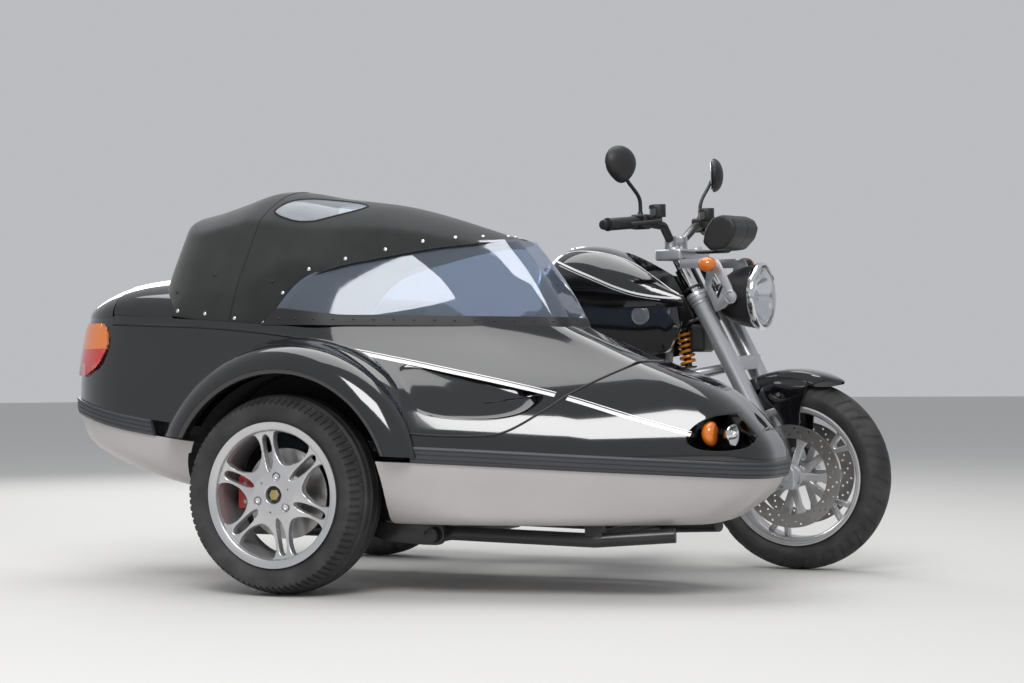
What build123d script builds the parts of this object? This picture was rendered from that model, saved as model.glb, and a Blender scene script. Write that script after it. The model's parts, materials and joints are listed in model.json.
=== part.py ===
from build123d import *
import os
from math import sin, cos, tan, radians

# A motorcycle with a sidecar on its right. Millimetres.
# Working frame: X forward from the rear axle, Y left from the motorcycle's centre plane, Z up from the ground.
# At export each node is shifted, so that the origin is under the middle of the whole outfit's box.

# Whole outfit
WHEELBASE = 1490.0
TRACK = 1172.0
WHEEL_LEAD = 300.0
ORIGIN_AHEAD = 612.0
ORIGIN_RIGHT = 422.0
SEAM = 0.3

# Steering
RAKE = 27.1
TRAIL = 119.0
REST_STEER = -5.0
LEG_SPACING = 190.0
SLIDER_R = 29.0
STANCHION_R = 20.0
SLIDER_TOP = 880.0
BRIDGE_HEIGHT = 1005.0
STEM_R = 16.0
PLATE_HOLES = 150.0
PLATE_HOLE_R = 3.2
EYE_R = 13.0
EYE_T = 10.0
STEM_PLAY = 0.06

# Tyres and rims: radius over the tread, width, radius of the rim's flange
FRONT_TYRE_R = 300.0
FRONT_TYRE_W = 120.0
FRONT_FLANGE_R = 230.0
REAR_TYRE_R = 315.0
REAR_TYRE_W = 180.0
REAR_FLANGE_R = 230.0
CAR_TYRE_R = 286.0
CAR_TYRE_W = 195.0
CAR_FLANGE_R = 207.0
RIM_WALL = 9.0
FLANGE_H = 14.0
DISC_R = 160.0
DISC_T = 5.0
DISC_Y = 60.0
AXLE_R = 12.0

# Sidecar body
BODY_WALL = 10.0
SHUT_GAP = 7.0
NOSE_Y = -790.0
WELL_R = 326.0
ARCH_R = 348.0
ARCH_AHEAD = 30.0
ARCH_DROP = 6.0
ARCH_W = 88.0
WELL_INNER_Y = 126.0 - TRACK
FLARE_Y = -113.0 - TRACK
BELT_PROUD = 9.0
BELT_H = 46.0
GLASS_T = 5.0
HOOD_T = 9.0
HOOD_PROUD = 6.0
HOOD_SHARE = 0.29
TAIL_SHARE = 0.43
SIDE_R = 700.0
BODY_REAR = -342.0
COVER_FRONT = 1290.0

# Body levels: height, tail x, nose x, middle x, right y at the tail, right y at the middle,
# left y, front x, right y at the front, left y at the front, half width of the nose, its rounding
LEVELS = [
    (205, 430, 1500, 800, -1130, -1170, -490, 1150, -1080, -520, 130, 0.9),
    (290, -130, 1615, 640, -1110, -1225, -446, 1180, -1095, -500, 140, 0.9),
    (400, -470, 1652, 640, -1140, -1250, -430, 1200, -1115, -480, 165, 0.9),
    (495, -545, 1592, 620, -1145, -1240, -430, 1150, -1100, -490, 160, 0.9),
    (590, -560, 1475, 560, -1140, -1200, -438, 1060, -1060, -520, 145, 0.85),
    (668, -562, 1275, 460, -1125, -1155, -455, 950, -1010, -560, 130, 0.75),
    (760, -556, 1062, 350, -1100, -1108, -478, 820, -950, -620, 118, 0.6),
    (960, -505, 700, 150, -1040, -1040, -540, 480, -930, -660, 100, 0.6),
]
# The screen and the sides of the soft top rise from the body's rim in one leaning wall: the same columns
GREENHOUSE = [
    (760, -250, 1062, 350, -1100, -1108, -478, 820, -950, -620, 118, 0.5),
    (1210, -120, 735, 90, -990, -997, -583, 300, -985, -595, 82, 0.5),
]
# Bows of the soft top: x, half width, height at the side, height at the crown
BOWS = [
    (-300, 300, 935, 1040),
    (-235, 300, 960, 1086),
    (-170, 300, 980, 1114),
    (-79, 300, 1000, 1133),
    (20, 300, 1010, 1161),
    (97, 300, 1016, 1184),
    (160, 295, 1016, 1185),
    (300, 270, 1000, 1160),
    (540, 235, 965, 1122),
    (900, 140, 965, 1010),
]
# Side view lines, x and z
RIM_LINE = [(-342, 812), (170, 775), (1100, 762)]
GLASS_EDGE = [(252, 760), (262, 830), (292, 885), (360, 926), (414, 951), (520, 982), (628, 1003), (900, 1017)]
SHUT_LINE = [(1290, 660), (1206, 617), (1128, 571), (1069, 525), (982, 471), (905, 458), (740, 463), (680, 485),
             (582, 597), (472, 695), (315, 735), (20, 768), (-342, 785)]
SHUT_RADII = [20, 200, 200, 200, 150, 120, 100, 100, 120, 180, 300, 300, 10, 10, 10]
BELT_TOP = [(-700, 575), (-480, 557), (-170, 499), (400, 440), (760, 425), (1250, 400), (1700, 376)]
# Dome of the tail: x and z of its centre, half length, half width, height
DOME = (-200, 760, 380, 342, 170)
DOME_FRONT = -130.0
# Recess in the cover's side
SCOOP = [(655, 654), (1040, 577), (1060, 566), (1058, 548), (1022, 517), (970, 502), (900, 497), (800, 503),
         (735, 520), (700, 560)]
SCOOP_RADII = [10, 20, 12, 20, 60, 60, 60, 60, 40, 60]
SCOOP_DEPTH = 22.0

parts = {}


def plane_at_y(y):
    return Plane(origin=(0, y, 0), x_dir=(1, 0, 0), z_dir=(0, -1, 0))


def outline(points, radii=None):
    if radii is None:
        return make_face(Polyline(*points, close=True))
    return make_face(FilletPolyline(*points, radius=radii, close=True))


def side_block(points, y_low, y_high, radii=None):
    """A side-view outline in X and Z, as thick as the span in Y."""
    return extrude(plane_at_y(y_high) * outline(points, radii), amount=y_high - y_low)


def front_block(points, x_low, x_high, radii=None):
    """A front-view outline in Y and Z, as thick as the span in X."""
    plane = Plane(origin=(x_low, 0, 0), x_dir=(0, 1, 0), z_dir=(1, 0, 0))
    return extrude(plane * outline(points, radii), amount=x_high - x_low)


def block(x0, x1, y0, y1, z0, z1, r=0):
    solid = Pos((x0 + x1) / 2, (y0 + y1) / 2, (z0 + z1) / 2) * Box(x1 - x0, y1 - y0, z1 - z0)
    if r:
        solid = fillet(solid.edges(), r)
    return solid


def rod(start, end, radius):
    a = Vector(*start)
    b = Vector(*end)
    plane = Plane(origin=start, z_dir=(b - a).normalized())
    return plane * extrude(Circle(radius), amount=(b - a).length)


def tube(points, radius, bends):
    path = FilletPolyline(*points, radius=bends) if len(points) > 2 else Line(*points)
    start = path @ 0
    along = path % 0
    return sweep(Plane(origin=start, z_dir=along) * Circle(radius), path=path)


def turned(points, x, z, y=0.0, angle=360.0):
    """A closed outline of (radius, y) turned about a Y axis at x and z."""
    face = make_face(Polyline(*[(x + r, y + w, z) for r, w in points], close=True))
    return revolve(face, Axis((x, 0, z), (0, 1, 0)), angle)


def wheel_plane(x, y, z, turn):
    """A sketch plane on a wheel: its normal is the wheel's axis and its first axis points out at the turn."""
    return Plane(origin=(x, y, z), x_dir=(cos(radians(turn)), 0, sin(radians(turn))), z_dir=(0, -1, 0))


def joined(solids):
    result = solids[0]
    for solid in solids[1:]:
        result = result + solid
    return result


def mirrored(solid, y=0.0):
    return solid.mirror(Plane(origin=(0, y, 0), z_dir=(0, 1, 0)))


def pair(solid, y=0.0):
    return Compound(children=[solid, mirrored(solid, y)])


def body_outline(row, grow, side_r=SIDE_R, tail_share=TAIL_SHARE):
    z, tail, nose, mid, yr_tail, yr, yl, front, yr_front, yl_front, half, share = row
    tail_r = min(tail_share * (yl - yr_tail), (mid - tail) / 2)
    points = [
        (tail - grow, yl + grow, z),
        (mid, yl + grow, z),
        (front, yl_front + grow, z),
        (nose + grow, NOSE_Y + half + grow, z),
        (nose + grow, NOSE_Y - half - grow, z),
        (front, yr_front - grow, z),
        (mid, yr - grow, z),
        (tail - grow, yr_tail - grow, z),
    ]
    nose_r = half * share + grow
    radii = [tail_r + grow, side_r, side_r, nose_r, nose_r, side_r, side_r, tail_r + grow]
    return FilletPolyline(*points, radius=radii, close=True)


def levels_loft(rows, grow, side_r=SIDE_R, tail_share=TAIL_SHARE):
    faces = []
    for row in rows:
        faces.append(make_face(body_outline(row, grow, side_r, tail_share)))
    return loft(faces, ruled=True)


def bows_loft(shrink):
    faces = []
    for x, half, side, crown in BOWS:
        w = half - shrink
        low = (x, NOSE_Y - w, 700)
        high = (x, NOSE_Y - w, side - shrink)
        wire = Wire([
            Edge.make_line(low, high),
            Edge.make_three_point_arc(high, (x, NOSE_Y, crown - shrink), (x, NOSE_Y + w, side - shrink)),
            Edge.make_line((x, NOSE_Y + w, side - shrink), (x, NOSE_Y + w, 700)),
            Edge.make_line((x, NOSE_Y + w, 700), low),
        ])
        faces.append(make_face(wire))
    return loft(faces, ruled=True)


def shifted(points, dz):
    return [(x, z + dz) for x, z in points]


# Sidecar body: one hollow moulding, split at the belt and at the shut lines
body_out = levels_loft(LEVELS, 0)
inner_levels = [(LEVELS[0][0] + BODY_WALL,) + LEVELS[0][1:]] + LEVELS[1:]
body_in = levels_loft(inner_levels, -BODY_WALL)
ROOM = 1400.0
DOME_X, DOME_Z, DOME_LONG, DOME_WIDE, DOME_HIGH = DOME


def dome_form(shrink):
    """All below the dome's middle height, and the dome above it."""
    size = (DOME_LONG - shrink, DOME_WIDE - shrink, DOME_HIGH - shrink)
    dome = Pos(DOME_X, NOSE_Y, DOME_Z) * scale(Sphere(1), size)
    above = block(-900, DOME_X + 300, -ROOM, 0, DOME_Z, 1300)
    return dome & above


below_dome = block(-900, 1900, -ROOM, 0, 0, DOME_Z)
ahead_of_dome = block(DOME_FRONT, 1900, -ROOM, 0, DOME_Z, 1300)
outer_form = joined([body_out & below_dome, body_out & ahead_of_dome])
shell_low = body_out - body_in
shell_low = shell_low & joined([below_dome, ahead_of_dome])
behind = block(-900, DOME_FRONT, -ROOM, 0, DOME_Z, 1300)
cap_outer = (body_out & dome_form(0)) & behind
cap_inner = (body_in & dome_form(BODY_WALL)) & behind
shell_cap = cap_outer - cap_inner

# Wheel space: a round well about the wheel, wider in the arch above the belt
arch_x = WHEEL_LEAD + ARCH_AHEAD
arch_z = CAR_TYRE_R - ARCH_DROP


def well_form(grow):
    round_well = Pos(WHEEL_LEAD, 0, CAR_TYRE_R) * Rot(90, 0, 0) * Cylinder(WELL_R + grow, 2 * ROOM)
    round_arch = Pos(arch_x, 0, arch_z) * Rot(90, 0, 0) * Cylinder(ARCH_R + grow, 2 * ROOM)
    above_belt = block(-400, 1000, -ROOM, 0, 400, 900)
    room = block(-400, 1000, -ROOM, WELL_INNER_Y + grow, 100, 900)
    return (round_well + (round_arch & above_belt)) & room


below_rim = side_block([(-800, 100), (1900, 100), (1900, 762)] + RIM_LINE[::-1] + [(-342, 1100), (-800, 1100)],
                       -ROOM, 0)
hood_room = levels_loft(GREENHOUSE, HOOD_PROUD + SEAM, 300, HOOD_SHARE)
shell = joined([shell_low & below_rim, shell_cap - hood_room])
open_shell = shell - well_form(BODY_WALL)

# Belt line from the side, and what lies above and below the belt
belt_low = shifted(BELT_TOP, -BELT_H)
above_belt_space = side_block(BELT_TOP + [(1900, 1300), (-900, 1300)], -ROOM, 0)
below_belt_space = side_block(belt_low + [(1900, 0), (-900, 0)], -ROOM, 0)
belt_space = side_block(BELT_TOP + belt_low[::-1], -ROOM, 0)
parts["lower_body"] = open_shell & below_belt_space

upper = open_shell & above_belt_space
cover_line = SHUT_LINE + [(-342, 1300), (1290, 1300)]
cover_face = outline(cover_line, SHUT_RADII)
gap_face = offset(cover_face, SHUT_GAP)
cover_space = extrude(plane_at_y(0) * cover_face, amount=ROOM)
cover_gap = extrude(plane_at_y(0) * gap_face, amount=ROOM)
side_catch = [block(0, 30, -1113, -1075, 735, 745), block(0, 30, -505, -478, 735, 745)]
side_seat = [block(0, 30, -1090, -1075, 745 + SEAM, 784), block(0, 30, -1101, -1075, 774, 784),
             block(0, 30, -508, -493, 745 + SEAM, 784), block(0, 30, -508, -485, 774, 784)]
scoop_face = outline(SCOOP, SCOOP_RADII)
scoop_floor = levels_loft(LEVELS, -SCOOP_DEPTH)
scoop_back = levels_loft(LEVELS, -SCOOP_DEPTH - 8)
scoop_prism = extrude(plane_at_y(-1000) * scoop_face, amount=400) + extrude(plane_at_y(-200) * scoop_face, amount=400)
scoop_edge = offset(scoop_face, 8)
edge_prism = extrude(plane_at_y(-1000) * scoop_edge, amount=400) + extrude(plane_at_y(-200) * scoop_edge, amount=400)
scoop_hollow = scoop_prism - scoop_floor
scoop_lining = (edge_prism & (body_in - scoop_back)) - scoop_hollow
cover_skin = (upper & cover_space) - scoop_hollow
parts["canopy_cover"] = joined([cover_skin, scoop_lining] + side_seat)
lid_line = [(-349, 805), (-349, 1200), (-900, 1200), (-900, 805)]
lid_space = side_block(lid_line, -ROOM, 0)
lid_gap = side_block([(-342, 798), (-342, 1200), (-900, 1200), (-900, 798)], -ROOM, 0)
lid_seat = [block(-528, -515, NOSE_Y - 25, NOSE_Y + 25, 780 + SEAM, 816), block(-546, -515, NOSE_Y - 25, NOSE_Y + 25, 808, 816)]
lid_catch = block(-546, -512, NOSE_Y - 30, NOSE_Y + 30, 770, 780)
parts["boot_lid"] = joined([upper & lid_space] + lid_seat)
upper_rest = joined([upper - cover_gap - lid_gap, lid_catch] + side_catch)


# Wheel arch: the lining of the well and the flare that stands out over the wheel
lining = (well_form(BODY_WALL - SEAM) - well_form(0)) & body_out
lining = lining - side_block([(-900, 0), (1900, 0), (1900, 206), (-900, 206)], -ROOM, 0)
flare_outer_r = ARCH_R + ARCH_W
# Wheel arch's flare: radius less the arch's, and y from its outer face
FLARE = [(1, 33), (0, 11), (6, 0), (36, 2), (58, 14), (72, 29), (82, 47), (89, 63), (96, 95), (104, 115), (104, 185),
         (92, 185), (92, 121), (76, 81), (62, 41), (32, 14), (16, 10), (9, 13), (8, 33)]
flare_points = [(ARCH_R + r, FLARE_Y + y) for r, y in FLARE]
flare = turned(flare_points, arch_x, arch_z)
flare_sector = side_block([(arch_x, arch_z), (arch_x + 800, arch_z + 205), (arch_x + 800, 1400), (arch_x - 800, 1400),
                           (arch_x - 800, arch_z + 390)], -ROOM, 0)
flare = (flare & flare_sector) - body_out
flare = max(flare.solids(), key=lambda solid: solid.volume)
belt_ring = levels_loft(LEVELS, BELT_PROUD) - body_out - well_form(BODY_WALL)
parts["belt_strip"] = (belt_ring & belt_space) - flare
parts["wheel_arch"] = Compound(children=[lining, flare])

# Screen and soft top
low_row = (750,) + GREENHOUSE[0][1:]
high_row = (1220,) + GREENHOUSE[1][1:]
screen_out = levels_loft(GREENHOUSE, -2, 300, HOOD_SHARE)
screen_in = levels_loft([low_row, high_row], -2 - GLASS_T, 300, HOOD_SHARE)
above_rim = side_block(shifted(RIM_LINE, SEAM) + [(1300, 762 + SEAM), (1300, 1300), (-342, 1300)], -ROOM, 0)
glass_face = [(252, 700), (1300, 700), (1300, 1017)] + GLASS_EDGE[::-1][:-1]
glass_space = side_block(glass_face, -ROOM, 0)
screen = (screen_out - screen_in) & above_rim & glass_space
parts["windscreen"] = screen

hood_side = levels_loft(GREENHOUSE, HOOD_PROUD, 300, HOOD_SHARE)
hood_side_in = levels_loft([low_row, high_row], HOOD_PROUD - HOOD_T, 300, HOOD_SHARE)
hood_out = hood_side & bows_loft(0)
hood_in = hood_side_in & bows_loft(HOOD_T)
hood_foot = [(-341, 812 + SEAM), (170, 775 + SEAM), (250, 774 + SEAM), (260, 830)]
hood_space = side_block(hood_foot + shifted(GLASS_EDGE[2:], SEAM) + [(900, 1300), (-341, 1300)], -ROOM, 0)
parts["soft_top"] = (hood_out - hood_in) & hood_space

# Passenger's bench and back rest
bench = side_block([(60, 300), (520, 330), (545, 395), (500, 420), (160, 395), (40, 700), (-60, 700), (-40, 330)],
                   -1020, -500, [30, 20, 25, 30, 60, 40, 30, 40])
parts["passenger_seat"] = bench

# Nose lamps in their pockets, tail lamps round the tail's corners
POCKET = [(1452, 440), (1480, 497), (1560, 520), (1612, 490), (1622, 440), (1570, 412), (1490, 415)]
POCKET_RADII = [30, 40, 40, 30, 25, 30, 30]
POCKET_FLOOR_Y = -928.0
pocket = side_block(POCKET, -1150, POCKET_FLOOR_Y, POCKET_RADII)
pocket_face = offset(outline(POCKET, POCKET_RADII), 4)
pocket_case = extrude(plane_at_y(POCKET_FLOOR_Y + 4) * pocket_face, amount=200) - pocket
pocket_both = pocket + mirrored(pocket, NOSE_Y)
case_both = pocket_case + mirrored(pocket_case, NOSE_Y)
upper_rest = (upper_rest - pocket_both) + (case_both & body_out)
lamp_a = Pos(1500, -962.5, 458) * Rot(0, 90, 0) * Cylinder(34, 40)
lamp_b = Pos(1560, -958.5, 455) * Rot(0, 90, 0) * Cylinder(30, 40)
nose_lamps = [lamp_a, lamp_b]
parts["nose_lamps"] = Compound(children=nose_lamps + [mirrored(lamp, NOSE_Y) for lamp in nose_lamps])
tail_ring = levels_loft(LEVELS, 7) - levels_loft(LEVELS, SEAM)
LAMP_FACE = [(-700, 640), (-440, 625), (-372, 655), (-345, 712), (-350, 752), (-378, 786), (-700, 786)]
lamp_prism = side_block(LAMP_FACE, -ROOM, 0, [5, 40, 60, 40, 40, 30, 5])
right_lamp = (tail_ring & lamp_prism) & block(-700, 0, -ROOM, NOSE_Y - 130, 500, 900)
left_lamp = (tail_ring & lamp_prism) & block(-700, 0, NOSE_Y + 130, 0, 500, 900)
parts["tail_lamps"] = Compound(children=[right_lamp, left_lamp])
parts["upper_body"] = upper_rest

# Wheels
def tyre(radius, width, flange, crown, y=0.0, x=0.0, z=0.0):
    bead = flange - FLANGE_H
    inner = width * 0.38
    side = radius - crown
    wire = Wire([
        Edge.make_line((x + bead, y - inner, z), (x + bead, y + inner, z)),
        Edge.make_line((x + bead, y + inner, z), (x + flange + 1, y + inner, z)),
        Edge.make_three_point_arc((x + flange + 1, y + inner, z), (x + (flange + side) / 2, y + width * 0.475, z),
                                  (x + side, y + width / 2, z)),
        Edge.make_three_point_arc((x + side, y + width / 2, z), (x + radius, y, z), (x + side, y - width / 2, z)),
        Edge.make_three_point_arc((x + side, y - width / 2, z), (x + (flange + side) / 2, y - width * 0.475, z),
                                  (x + flange + 1, y - inner, z)),
        Edge.make_line((x + flange + 1, y - inner, z), (x + bead, y - inner, z)),
    ])
    return revolve(make_face(wire), Axis((x, y, z), (0, 1, 0)), 360)


def barrel(flange, width, x, y, z):
    bead = flange - FLANGE_H
    half = width * 0.38
    points = [(flange, -half - 9), (flange, -half - SEAM), (bead - SEAM, -half - SEAM), (bead - SEAM, half + SEAM),
              (flange, half + SEAM), (flange, half + 9), (bead - RIM_WALL, half + 9), (bead - RIM_WALL, -half - 9)]
    face = make_face(Polyline(*[(x + r, y + w, z) for r, w in points], close=True))
    return revolve(face, Axis((x, y, z), (0, 1, 0)), 360)


def spokes(x, y, z, count, hub_r, rim_r, arm, window, thick):
    """Arms from the hub to the rim, each with a window that forks it: outlines are of (radius, half width)."""
    solids = []
    for k in range(count):
        plane = wheel_plane(x, y + thick / 2, z, 90 + 360.0 * k / count)
        arm_face = outline(arm + [(r, -w) for r, w in arm[::-1]])
        hole_face = outline(window + [(r, -w) for r, w in window[::-1] if w])
        solids.append(extrude(plane * arm_face, amount=thick) - extrude(plane * hole_face, amount=thick))
    hub = Pos(x, y, z) * Rot(90, 0, 0) * Cylinder(hub_r, thick + 30)
    return joined([hub] + solids)


front_arm = [(30, 22), (110, 19), (150, 32), (202, 57)]
front_window = [(136, 0), (198, 36)]
rear_window = front_window
front_rim = barrel(FRONT_FLANGE_R, FRONT_TYRE_W, WHEELBASE, 0, FRONT_TYRE_R)
front_rim = front_rim + spokes(WHEELBASE, 0, FRONT_TYRE_R, 5, 42, 210, front_arm, front_window, 26)
front_rim = front_rim - Pos(WHEELBASE, 0, FRONT_TYRE_R) * Rot(90, 0, 0) * Cylinder(AXLE_R + SEAM, 200)
front_tyre = tyre(FRONT_TYRE_R, FRONT_TYRE_W, FRONT_FLANGE_R, 44, 0, WHEELBASE, FRONT_TYRE_R)
disc = Pos(WHEELBASE, DISC_Y, FRONT_TYRE_R) * Rot(90, 0, 0) * (Cylinder(DISC_R, DISC_T) - Cylinder(118, DISC_T + 2))
carrier_arm = [(28, 14), (119, 10)]
carrier = spokes(WHEELBASE, DISC_Y - 3, FRONT_TYRE_R, 5, 40, 119, carrier_arm, [(60, 0), (100, 3)], 6)
carrier = carrier - Pos(WHEELBASE, DISC_Y, FRONT_TYRE_R) * Rot(90, 0, 0) * Cylinder(AXLE_R + SEAM, 200)
carrier = carrier - block(WHEELBASE - 200, WHEELBASE + 200, 64, 120, 100, 500)
rear_rim = barrel(REAR_FLANGE_R, REAR_TYRE_W, 0, 0, REAR_TYRE_R)
rear_rim = rear_rim + spokes(0, 20, REAR_TYRE_R, 5, 60, 210, front_arm, rear_window, 30)
parts["rear_rim"] = rear_rim
parts["rear_tyre"] = tyre(REAR_TYRE_R, REAR_TYRE_W, REAR_FLANGE_R, 60, 0, 0, REAR_TYRE_R)
CAR_Y = -TRACK
car_arm = [(30, 28), (90, 27), (150, 34), (184, 40)]
car_window = [(78, 0), (96, 9), (178, 15)]
car_rim = barrel(CAR_FLANGE_R, CAR_TYRE_W, WHEEL_LEAD, CAR_Y, CAR_TYRE_R)
car_rim = car_rim + spokes(WHEEL_LEAD, CAR_Y - 45, CAR_TYRE_R, 6, 58, 188, car_arm, car_window, 24)
parts["sidecar_rim"] = car_rim - Pos(WHEEL_LEAD, CAR_Y, CAR_TYRE_R) * Rot(90, 0, 0) * Cylinder(26, 300)
parts["sidecar_tyre"] = tyre(CAR_TYRE_R, CAR_TYRE_W, CAR_FLANGE_R, 26, CAR_Y, WHEEL_LEAD, CAR_TYRE_R)
car_disc = Pos(WHEEL_LEAD, CAR_Y + 12, CAR_TYRE_R) * Rot(90, 0, 0) * (Cylinder(130, 10) - Cylinder(40, 12))
car_hat = Pos(WHEEL_LEAD, CAR_Y, CAR_TYRE_R) * Rot(90, 0, 0) * (Cylinder(55, 34) - Cylinder(26.3, 50))
parts["sidecar_disc"] = car_disc + car_hat

# Fork: built straight ahead, turned to its rest below
lean = radians(RAKE)
STEER_FOOT = WHEELBASE + TRAIL
steer_dir = (-sin(lean), 0, cos(lean))


def leg_x(z):
    return WHEELBASE - (z - FRONT_TYRE_R) * tan(lean)


def axis_x(z):
    return STEER_FOOT - z * tan(lean)


fork = {}
half_legs = LEG_SPACING / 2
slider = rod((leg_x(FRONT_TYRE_R - 10), half_legs, FRONT_TYRE_R - 10), (leg_x(SLIDER_TOP), half_legs, SLIDER_TOP), SLIDER_R)
collar = rod((leg_x(SLIDER_TOP - 24), half_legs, SLIDER_TOP - 24), (leg_x(SLIDER_TOP), half_legs, SLIDER_TOP), SLIDER_R + 4)
foot = Pos(WHEELBASE, half_legs, FRONT_TYRE_R) * Rot(90, 0, 0) * Cylinder(33, 44)
leg = slider + collar + foot
axle = Pos(WHEELBASE, 0, FRONT_TYRE_R) * Rot(90, 0, 0) * Cylinder(AXLE_R, LEG_SPACING + 60)
yoke_z = 655.0
yoke = block(leg_x(yoke_z) - 6, leg_x(yoke_z) + 28, -half_legs, half_legs, yoke_z - 22, yoke_z + 22)
fork["fork_sliders"] = leg + mirrored(leg) + yoke + axle
stanchion = rod((leg_x(SLIDER_TOP) , half_legs, SLIDER_TOP + SEAM), (leg_x(BRIDGE_HEIGHT + 20), half_legs, BRIDGE_HEIGHT + 20),
                STANCHION_R)
bridge_x = leg_x(BRIDGE_HEIGHT)
bridge = block(bridge_x - 62, bridge_x + 28, -half_legs - 30, half_legs + 30, BRIDGE_HEIGHT - 18, BRIDGE_HEIGHT + 18, 8)
stem = rod((axis_x(890), 0, 890), (axis_x(BRIDGE_HEIGHT), 0, BRIDGE_HEIGHT), STEM_R)
fork["fork_bridge"] = bridge + stanchion + mirrored(stanchion) + stem
bar_pts = [(bridge_x - 40, 45, 1050), (bridge_x - 28, 130, 1098), (bridge_x - 50, 250, 1108), (bridge_x - 92, 412, 1098)]
bar_half = tube(bar_pts, 14, [45, 60])
riser = rod((bridge_x - 40, 45, BRIDGE_HEIGHT + 18), (bridge_x - 40, 45, 1066), 20)
bar_mid = rod((bridge_x - 40, -45, 1050), (bridge_x - 40, 45, 1050), 14)
fork["handlebar"] = bar_mid + bar_half + mirrored(bar_half) + riser + mirrored(riser)
grip = rod((bridge_x - 58, 281, 1106), (bridge_x - 92, 412, 1098), 18) - rod((bridge_x - 50, 250, 1108), (bridge_x - 97.2, 432, 1096.8), 15)
switches = block(bridge_x - 80, bridge_x - 26, 226, 272, 1085, 1132, 8) - tube(bar_pts, 14.3, [45, 60])
reservoir = Pos(bridge_x - 10, 205, 1143) * Cylinder(22, 40)
perch = block(bridge_x - 60, bridge_x - 5, 190, 222, 1100, 1123 - SEAM) - tube(bar_pts, 14.3, [45, 60])
lever = tube([(bridge_x - 12, 215, 1112), (bridge_x + 22, 262, 1108), (bridge_x - 18, 405, 1096)], 6, [30])
fork["grips_and_controls"] = pair(joined([grip, switches]))
fork["brake_reservoirs"] = pair(joined([reservoir, perch, lever]))
MIRROR_Z = 1283.0
mirror_stem = tube([(bridge_x - 48, 246, 1120), (bridge_x - 46, 248, 1172), (bridge_x - 50, 320, 1232),
                    (bridge_x - 52, 372, MIRROR_Z - 20)], 6, [34, 34])
shell_m = scale(Sphere(1), (30, 64, 56)) - block(-200, -10, -200, 200, -200, 200)
shell_m = Pos(bridge_x - 52, 391, MIRROR_Z) * Rot(0, 0, 24) * shell_m
mirror_stem = mirror_stem - switches - bar_half
fork["mirrors"] = pair(mirror_stem + shell_m)

lamp_z = 866.0
lamp_front = 1392.0
bucket_face = make_face(Polyline((lamp_front, 0, lamp_z), (lamp_front, 0, lamp_z + 104), (lamp_front - 22, 0, lamp_z + 108),
                                 (lamp_front - 60, 0, lamp_z + 98), (lamp_front - 130, 0, lamp_z + 70),
                                 (lamp_front - 150, 0, lamp_z + 40), (lamp_front - 150, 0, lamp_z), close=True))
bucket = revolve(bucket_face, Axis((0, 0, lamp_z), (1, 0, 0)), 360)
hollow_face = make_face(Polyline((lamp_front + 1, 0, lamp_z), (lamp_front + 1, 0, lamp_z + 98), (lamp_front - 40, 0, lamp_z + 92),
                                 (lamp_front - 100, 0, lamp_z + 50), (lamp_front - 110, 0, lamp_z), close=True))
fork["headlamp_shell"] = bucket - revolve(hollow_face, Axis((0, 0, lamp_z), (1, 0, 0)), 360)
lens_points = [(-8, 0), (-8, 95.5), (1, 95.5), (7, 80), (13, 58), (17, 32), (19, 8), (19, 0)]
lens_face = make_face(Polyline(*[(lamp_front + x, 0, lamp_z + r) for x, r in lens_points], close=True))
fork["headlamp_lens"] = revolve(lens_face, Axis((0, 0, lamp_z), (1, 0, 0)), 360)
cheek = side_block([(1234, 905), (1246, 985), (1282, 985), (1322, 905), (1336, 866), (1300, 832), (1268, 820)], 112, 118)
cheek_hole = side_block([(1256, 900), (1266, 948), (1296, 900), (1278, 860)], 60, 190)
boss = rod((1322, 90, 866), (1322, 124, 866), 13)
brace = block(1150, 1250, 112, 118, 960, 990)
bracket = joined([cheek, boss, brace]) - cheek_hole - bucket
fork["lamp_brackets"] = pair(bracket - fork["fork_bridge"] - fork["fork_sliders"])
pods = block(1225, 1330, -110, 110, 1035, 1112, 26)
pods = joined([pods, block(1157 + SEAM, 1272, -30, 30, 1006, 1018), block(1244, 1272, -30, 30, 1006, 1050)])
fork["instruments"] = pods
stalk = rod((1264, 118 + SEAM, 970), (1264, 150, 970), 7)
bulb = Pos(1264, 168, 970) * scale(Sphere(1), (30, 26, 24))
fork["front_indicators"] = pair(stalk + bulb)

guard_points = [(312, -61), (325, -48), (333, 0), (325, 48), (312, 61), (286, 62), (286, 65.7), (314, 65), (329, 51), (337, 0),
                (329, -51), (314, -65), (286, -65.7), (286, -62)]
guard = turned(guard_points, WHEELBASE, FRONT_TYRE_R)
guard_sector = side_block([(WHEELBASE, FRONT_TYRE_R), (WHEELBASE + 215, FRONT_TYRE_R + 420), (WHEELBASE - 400, FRONT_TYRE_R + 420),
                           (WHEELBASE - 500, FRONT_TYRE_R + 140)], -100, 100)
GUARD_LEG = [(1405, 566), (1470, 592), (1535, 585), (1530, 480), (1520, 400), (1516, 326), (1500, 326), (1484, 400),
             (1470, 500)]
guard_leg = side_block(GUARD_LEG, 67.5, 72.7)
guard_tab = side_block([(1405, 566), (1470, 592), (1535, 585), (1530, 480), (1478, 480)], 65, 72.7)
guard_leg = guard_leg + guard_tab
fork["front_mudguard"] = joined([guard & guard_sector, guard_leg, mirrored(guard_leg)])
CALIPER_TURN = 142.0
caliper_plane = wheel_plane(WHEELBASE, 92, FRONT_TYRE_R, CALIPER_TURN)
caliper = extrude(caliper_plane * (Pos(152, 0) * RectangleRounded(72, 118, 14)), amount=52)
groove = Pos(WHEELBASE, DISC_Y, FRONT_TYRE_R) * Rot(90, 0, 0) * Cylinder(DISC_R + 4, 14)
leg_room = rod((leg_x(FRONT_TYRE_R - 10), half_legs, FRONT_TYRE_R - 10), (leg_x(SLIDER_TOP), half_legs, SLIDER_TOP),
               SLIDER_R + SEAM)
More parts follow.
